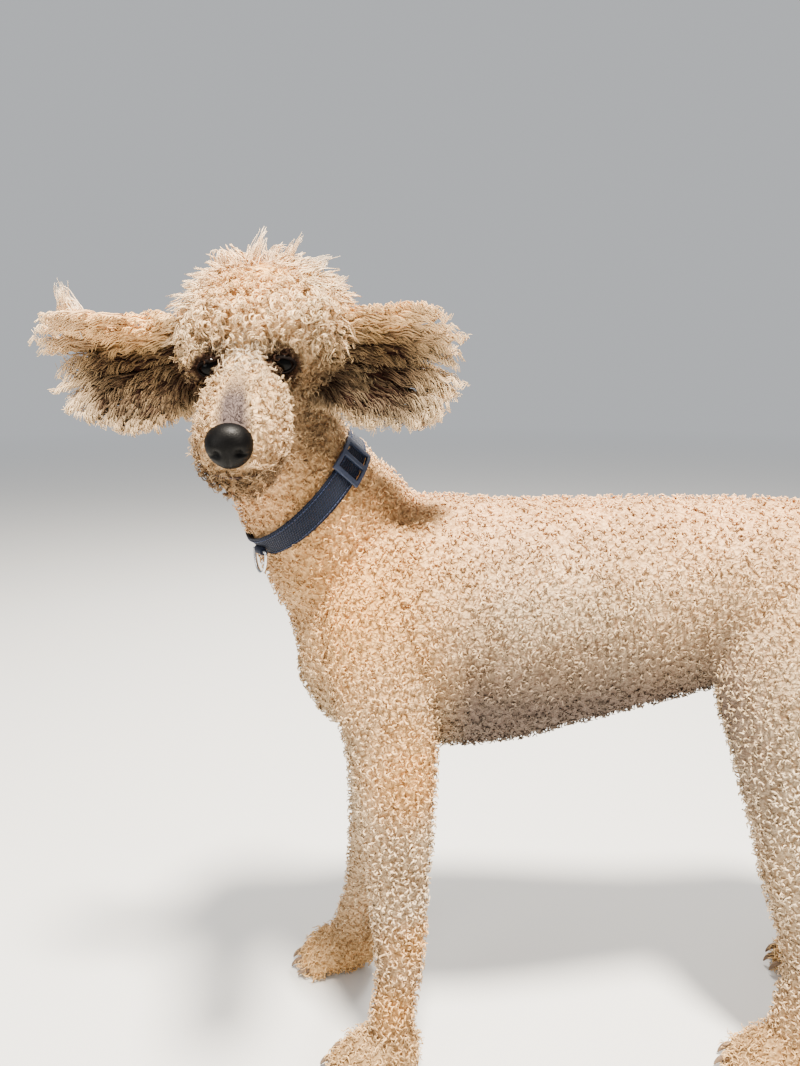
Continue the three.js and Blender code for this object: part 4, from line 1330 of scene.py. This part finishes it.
def make_wisps(coat):
    """Thin strands in tufts from root to tip, each tuft bowed and gathered at its tip."""
    tufts = np.concatenate([WISPS, np.array(EAR_TUFT, float) + chance.normal(0, 3, (3, 2, 3))])
    root, tip = np.repeat(tufts, WISP_STRANDS, axis=0).transpose(1, 0, 2)
    count = len(root)
    stray = chance.normal(0, 1, (count, 3)) * (4.5, 4.5, 1.5)
    length = chance.uniform(0.55, 1.05, (count, 1))
    start = root + stray
    end = start + (tip - root) * length - stray * 0.55
    bow = np.repeat(chance.normal(0, 4, (len(tufts), 3)), WISP_STRANDS, axis=0) + (5, 0, 1)
    s = np.linspace(0, 1, 10)[None, :, None]
    paths = start[:, None] + (end - start)[:, None] * s + bow[:, None] * np.sin(s * math.pi)
    paths = paths + 1.1 * s * np.sin(s * 10 + chance.uniform(0, 6, (count, 1, 1))) * (1.0, 0.7, 0)
    half = chance.uniform(0.5, 0.95, count)[:, None] / 1000 * (1 - 0.75 * s[..., 0] ** 1.3)
    flat = columns(0.05 + 0.9 * (np.arange(count) / count), chance.uniform(0.1, 0.9, count))
    outs = np.broadcast_to(FORWARD, paths.shape)
    tuft_piece("coat_wisps", metres(on_head(paths)), outs, half, half * 0.6, flat, coat, np.ones(count),
               0.55, chance.uniform(0, 1, count))


# Eyes: a ball with iris and pupil, in a dark rim

def eye_finish(name, centre, ahead):
    """Near-black iris with a brown rim, and a wet surface."""
    finish = Finish(name, Roughness=0.1, Specular_IOR_Level=0.06, Coat_Weight=0.02, Coat_Roughness=0.03)
    offset = finish.vector("SUBTRACT", finish.place(), metres(centre))
    facing = finish.vector("DOT_PRODUCT", offset, unit(ahead), output="Value")
    colour = finish.ramp(facing / (EYE_RADIUS / 1000), (0.50, srgb(40, 30, 26)), (0.58, srgb(12, 8, 6)),
                         (0.70, srgb(30, 16, 9)), (0.84, srgb(18, 10, 6)), (0.87, (0.002, 0.002, 0.002)))
    return finish.set(Base_Color=colour)


def make_eyes():
    rim_finish = Finish("eye_rim", Roughness=0.7, Specular_IOR_Level=0.03)
    grain = rim_finish.noise(500.0)
    rim_skin = rim_finish.set(Base_Color=rim_finish.mix(grain, srgb(6, 4, 4), srgb(16, 11, 9)),
                              Normal=rim_finish.bump(grain, 0.0005))
    for side, s in zip(SIDES, (-1, 1)):
        name = "eye_" + side
        eyeball = blob(name + "_ball", eye_spot(s), (EYE_RADIUS,) * 3, head=True, segments=48)
        shade_smooth(eyeball)
        ahead = HEAD_AXES @ unit((s * 0.10, 1, 0))
        dress(eyeball, eye_finish(name + "_wet", on_head(eye_spot(s)), ahead), "eye", name)
        dress(eye_rim(name + "_rim", s), rim_skin, "curly_coat")


EYE_OPENING = (8.8, 5.6)
RIM_HALF_WIDTH = 1.1
TORUS_WIRE = 0.25


def eye_rim(name, s):
    """The edge of both lids: a thin roll that follows the almond of the eye."""
    deselect()
    bpy.ops.mesh.primitive_torus_add(major_segments=56, minor_segments=12, major_radius=1,
                                     minor_radius=TORUS_WIRE)
    rim = bpy.context.object
    rim.name = name
    at = spots_of(rim)
    around = np.arctan2(at[:, 1], at[:, 0])
    out = (np.hypot(at[:, 0], at[:, 1]) - 1) / TORUS_WIRE
    up = at[:, 2] / TORUS_WIRE
    wide, high = EYE_OPENING
    x = wide * np.cos(around)
    z = high * np.sin(around) * np.abs(np.sin(around)) ** 0.25
    depth = np.sqrt(np.maximum((EYE_RADIUS + 0.3) ** 2 - x ** 2 - z ** 2, 0))
    thick = RIM_HALF_WIDTH * (1 + 0.35 * (np.sin(around) > 0) * np.sin(around))
    spots = columns(x, depth, z) + unit(columns(x, 0, z)) * (out * thick + 0.8)[:, None]
    spots[:, 1] += up * 1.3 - 0.9 * out
    move_spots(rim, metres(on_head(spots + eye_spot(s))))
    shade_smooth(rim)
    return rim


# Nose: a pad of pebbled leather with comma-shaped nostrils and a groove below

NOSE_MIDDLE = np.array([5, 106, -36])
NOSE_RADII = (17.2, 13.5, 16.6)


def nose_finish():
    finish = Finish("nose_pad", Specular_IOR_Level=0.10)
    cells = finish.node("TexVoronoi", {"feature": "DISTANCE_TO_EDGE"},
                        {"Vector": finish.place(), "Scale": 620.0}, "Distance")
    pebbles = finish.rise(cells, 0.0, 0.16)
    wear = finish.noise(90.0, 3.0)
    colour = finish.mix(wear, srgb(2, 2, 2), srgb(7, 6, 6))
    return finish.set(Base_Color=colour, Roughness=wear * 0.2 + 0.34,
                      Normal=finish.bump(pebbles, 0.0002, 0.25))


def make_nose():
    pad = ball("nose_leather", 72, 54)
    at = spots_of(pad)
    side, up = np.abs(at[:, 0]), at[:, 2]
    spots = at * np.array(NOSE_RADII)
    spots[:, 0] *= 1 + 0.10 * up
    nostril = bell((side - 0.46) / 0.15, (up + 0.12) / 0.17)
    slit = bell((side - 0.72) / 0.26, (up + 0.22 + 0.2 * (side - 0.6)) / 0.075)
    groove = bell(side / 0.05) * clamped((0.1 - up) / 0.3)
    wing = bell((side - 0.62) / 0.25, (up - 0.18) / 0.3)
    spots[:, 1] += clamped(at[:, 1]) * (-4.0 * nostril - 2.4 * slit - 1.2 * groove + 0.8 * wing)
    move_spots(pad, metres(on_head(spots + NOSE_MIDDLE)))
    shade_smooth(pad)
    dress(pad, nose_finish(), "nose_leather", "nose")


def tube(name, path, radius, sides=10, closed=False):
    """A round tube along a path in metres, open or closed in a ring."""
    count = len(path)
    ahead = np.roll(path, -1, axis=0) - np.roll(path, 1, axis=0) if closed else np.gradient(path, axis=0)
    radii = np.broadcast_to(radius, count)
    spots = oval_rings(path, unit(ahead), unit(path - path.mean(axis=0)), radii, radii, sides)
    faces = quads_between(count, sides, closed)[0].tolist()
    if not closed:
        faces += [list(range(sides))[::-1], list(range((count - 1) * sides, count * sides))]
    return closed_mesh(name, spots, faces)


def make_mouth(ground):
    """The dark edge of the lips, in the fold between lips and chin."""
    a = np.linspace(-0.62, 0.62, 32)
    spots = columns(5 + 27 * np.sin(a), 62 + 42 * np.cos(a), -60 + 5 * np.sin(a) ** 2)
    finish = Finish("lip_edge", Roughness=0.4)
    lip_skin = finish.set(Base_Color=finish.mix(finish.noise(300.0), srgb(44, 26, 18), srgb(84, 54, 38)))
    radius = 0.0013 * np.clip(np.cos(a * 2.3), 0.12, 1) ** 0.5
    dress(tube("lip_edge", ground.settle(metres(on_head(spots))), radius), lip_skin, "curly_coat")


# Claws: dark curved cones, four to a paw

def make_claws():
    finish = Finish("claw_horn", Roughness=0.45, Specular_IOR_Level=0.3)
    streak = finish.noise(260.0, 4.0)
    horn = finish.set(Base_Color=finish.mix(streak, srgb(84, 66, 52), srgb(136, 112, 88)),
                      Normal=finish.bump(streak, 0.0004))
    for name, (x, y, *_) in ANKLES.items():
        claws = []
        for place in TOE_PLACES:
            stations = stations_at(CLAW, x - toe_reach(place) - CLAW_AHEAD, y + place * CLAW_SPACING)
            claws.append(swept("claw", Sweep(stations), rings=16, segments=14))
        whole = joined("claws_" + name, claws)
        shade_smooth(whole)
        paw = name.replace("_", "paw_")
        dress(whole, horn, "claw", *(f"{paw}_claw_{i + 1}" for i in range(len(claws))))


# Collar: woven webbing with stitched edges, a slider at the nape and a D-ring on a loop at the throat

COLLAR_MIDDLE = np.array([-303.0, -27.0, 630.0])
COLLAR_AXIS = unit((-40, -20, 40))
COLLAR_HALVES = (60, 70)
COLLAR_WIDTH = 24
COLLAR_THICKNESS = 2.6
BAND_GAP = 0.2  # between the neck and the band
STITCHES = 118
STITCH_ROW = 9.0  # from the middle of the band to each row of stitches
THREAD_RADIUS = 0.00042
COLLAR_DEEP = unit(np.cross(SIDEWAYS, COLLAR_AXIS))
COLLAR_SIDE = np.cross(COLLAR_AXIS, COLLAR_DEEP)


def on_collar(turn, across, lift):
    """On the band: turned by radians from the far side over the nape, across its width, lifted off it."""
    wide, deep = COLLAR_HALVES
    turn, across, lift = np.broadcast_arrays(turn, across, lift)
    out = unit(columns(np.cos(turn) / wide, np.sin(turn) / deep))
    flat = columns(wide * np.cos(turn), deep * np.sin(turn)) + out * lift[..., None]
    return (COLLAR_MIDDLE + flat[..., :1] * COLLAR_SIDE + flat[..., 1:] * COLLAR_DEEP
            + across[..., None] * COLLAR_AXIS)


def webbing_finish():
    finish = Finish("webbing_weave", Roughness=0.7, Specular_IOR_Level=0.2, Sheen_Weight=0.05)
    uv = finish.node("UVMap", {"uv_map": "weave"})
    along_band = finish.node("SeparateXYZ", inputs={"Vector": uv}, output="X")
    across_band = finish.node("SeparateXYZ", inputs={"Vector": uv}, output="Y")
    warp = (across_band * (22 * math.pi)).sine()
    weft = (along_band * (2 * math.pi * 160) + across_band * (11 * math.pi)).sine()
    weave = warp * 0.5 + weft * 0.5
    colour = finish.mix(weave * 0.5 + 0.5, srgb(2, 6, 14), srgb(10, 24, 50))
    return finish.set(Base_Color=colour, Normal=finish.bump(weave, 0.0006, 0.8))


def make_band(material):
    around, ring = 180, 12
    turn = np.arange(around)[:, None] * 2 * math.pi / around
    angle = np.arange(ring) * 2 * math.pi / ring
    across = COLLAR_WIDTH / 2 * np.sign(np.cos(angle)) * np.abs(np.cos(angle)) ** 0.35
    lift = COLLAR_THICKNESS / 2 * (1 + np.sign(np.sin(angle)) * np.abs(np.sin(angle)) ** 0.5) + BAND_GAP
    faces, row, side = quads_between(around, ring, wrap=True)
    weave = columns(row / around, across[side % ring] / COLLAR_WIDTH + 0.5)
    spots = metres(on_collar(turn, across, lift)).reshape(-1, 3)
    dress(closed_mesh("collar_webbing", spots, faces.tolist(), weave), material, "webbing", "collar_band")


def make_stitches():
    """Two rows of thread along the edges of the band."""
    finish = Finish("collar_thread", Roughness=0.6)
    thread = finish.set(Base_Color=finish.mix(finish.noise(900.0), srgb(14, 28, 56), srgb(34, 52, 92)))
    turn = np.arange(STITCHES)[:, None] * 2 * math.pi / STITCHES
    along_stitch = np.linspace(-0.36, 0.36, 6) * 2 * math.pi / STITCHES
    lift = COLLAR_THICKNESS + BAND_GAP + 0.45 * np.cos(np.linspace(-1.4, 1.4, 6))
    edges = (-STITCH_ROW, STITCH_ROW)
    paths = metres(np.concatenate([on_collar(turn + along_stitch, edge, lift) for edge in edges]))
    half = np.full(paths.shape[:2], THREAD_RADIUS)
    uv = np.full((len(paths), 2), 0.5)
    outs = np.broadcast_to(COLLAR_AXIS, paths.shape)
    dress(tuft_mesh("collar_stitches", paths, outs, half, half, uv, {}, sides=5), thread, "webbing")


BUCKLE_TURN = math.radians(128)
BUCKLE_LENGTH = 38
BUCKLE_WIDTH = COLLAR_WIDTH + 7
BUCKLE_VOXEL = 0.45
BUCKLE_BARS = (2.4, 2.2, 1.9)  # half widths of the end bars, the middle bar and the side bars


def bend_to_collar(piece, turn, low):
    """From the flat (length, width, height in millimetres) onto the band."""
    x, y, z = spots_of(piece).T
    girth = sum(COLLAR_HALVES) / 2
    move_spots(piece, metres(on_collar(turn + x / girth, y, low + z)))


def make_buckle():
    """A slider: a rounded frame with a bar across, through which the webbing passes."""
    finish = Finish("slider_plastic", Roughness=0.42)
    speckle = finish.noise(420.0)
    plastic = finish.set(Base_Color=finish.mix(speckle, srgb(34, 42, 62), srgb(48, 58, 82)),
                         Normal=finish.bump(speckle, 0.0003))
    long, wide = BUCKLE_LENGTH / 2, BUCKLE_WIDTH / 2
    end, middle, edge = BUCKLE_BARS
    bars = []
    for x, y, half_x, half_y in (
        (-long + end, 0, end, wide),
        (long - end, 0, end, wide),
        (0, 0, middle, wide),
        (0, -wide + edge, long, edge),
        (0, wide - edge, long, edge),
    ):
        deselect()
        bpy.ops.mesh.primitive_cube_add(size=2)
        bar = bpy.context.object
        bpy.ops.object.mode_set(mode="EDIT")
        bpy.ops.mesh.select_all(action="SELECT")
        bpy.ops.mesh.subdivide(number_cuts=9)
        bpy.ops.object.mode_set(mode="OBJECT")
        move_spots(bar, spots_of(bar) * (half_x, half_y, 2.0) + (x, y, 0))
        bars.append(bar)
    slider = joined("collar_slider", bars)
    fuse(slider, BUCKLE_VOXEL)
    at = spots_of(slider)
    at[:, 2] = at[:, 2] * 0.85 + 0.35 * np.cos(at[:, 0] / BUCKLE_LENGTH * math.pi)
    move_spots(slider, at)
    bend_to_collar(slider, BUCKLE_TURN, COLLAR_THICKNESS + 1.6)
    shade_smooth(slider)
    dress(slider, plastic, "buckle_plastic", "collar_buckle")


RING_TURN = math.radians(243)
RING_WIRE = 1.6
RING_SIZE = (25, 22)
TAB_LENGTH = 15
RING_LIFT = 6  # from the neck to the bar of the ring


def make_ring(webbing):
    """A D of steel wire that hangs from a loop of webbing."""
    hinge, near = (on_collar(RING_TURN + turn, 0, RING_LIFT) for turn in (0, 0.01))
    way = unit((near - hinge) * (1, 1, 0))
    out = np.cross(way, (0, 0, 1))
    half, reach = RING_SIZE[0] / 2, RING_SIZE[1]
    turns = np.radians(np.linspace(0, 180, 40))
    curve = columns(half * np.cos(turns), -reach * np.sin(turns) ** 0.8)
    flat = np.concatenate([curve, columns(np.linspace(-half, half, 16)[1:-1], 0)])
    path = hinge + flat[:, :1] * way + flat[:, 1:] * (0, 0, 1.0)
    steel = Finish("ring_steel_polished", Metallic=1.0, Roughness=0.22)
    wear = steel.noise(160.0, 3.0)
    metal = steel.set(Base_Color=steel.mix(wear, (0.52, 0.53, 0.55), (0.68, 0.68, 0.70)),
                      Roughness=wear * 0.2 + 0.14)
    ring = tube("collar_d_ring", metres(path), RING_WIRE / 1000, sides=14, closed=True)
    dress(ring, metal, "ring_steel", "collar_ring")
    deselect()
    bpy.ops.mesh.primitive_cylinder_add(vertices=32, radius=1, depth=1)
    tab = bpy.context.object
    tab.name = "collar_ring_loop"
    x, y, z = spots_of(tab).T[..., None]
    spots = hinge + z * TAB_LENGTH * way + y * (RING_WIRE + 2.4) * (0, 0, 1.0) + x * (RING_WIRE + 1.6) * out
    move_spots(tab, metres(spots))
    apply_modifier(tab, "BEVEL", width=0.0008, segments=3)
    tab.data.uv_layers.new(name="weave").uv.foreach_set("vector", [0.3] * (2 * len(tab.data.loops)))
    shade_smooth(tab)
    dress(tab, webbing, "webbing")


def make_collar():
    webbing = webbing_finish()
    make_band(webbing)
    make_stitches()
    make_buckle()
    make_ring(webbing)


place_camera()
light_studio()

skin = make_skin(skin_finish())
ground = Ground(skin)
coat = fleece()
coat_all_over(ground, coat)
make_ears(coat)
make_wisps(coat)
make_eyes()
make_nose()
make_mouth(ground)
make_claws()
make_collar()

make_floor()
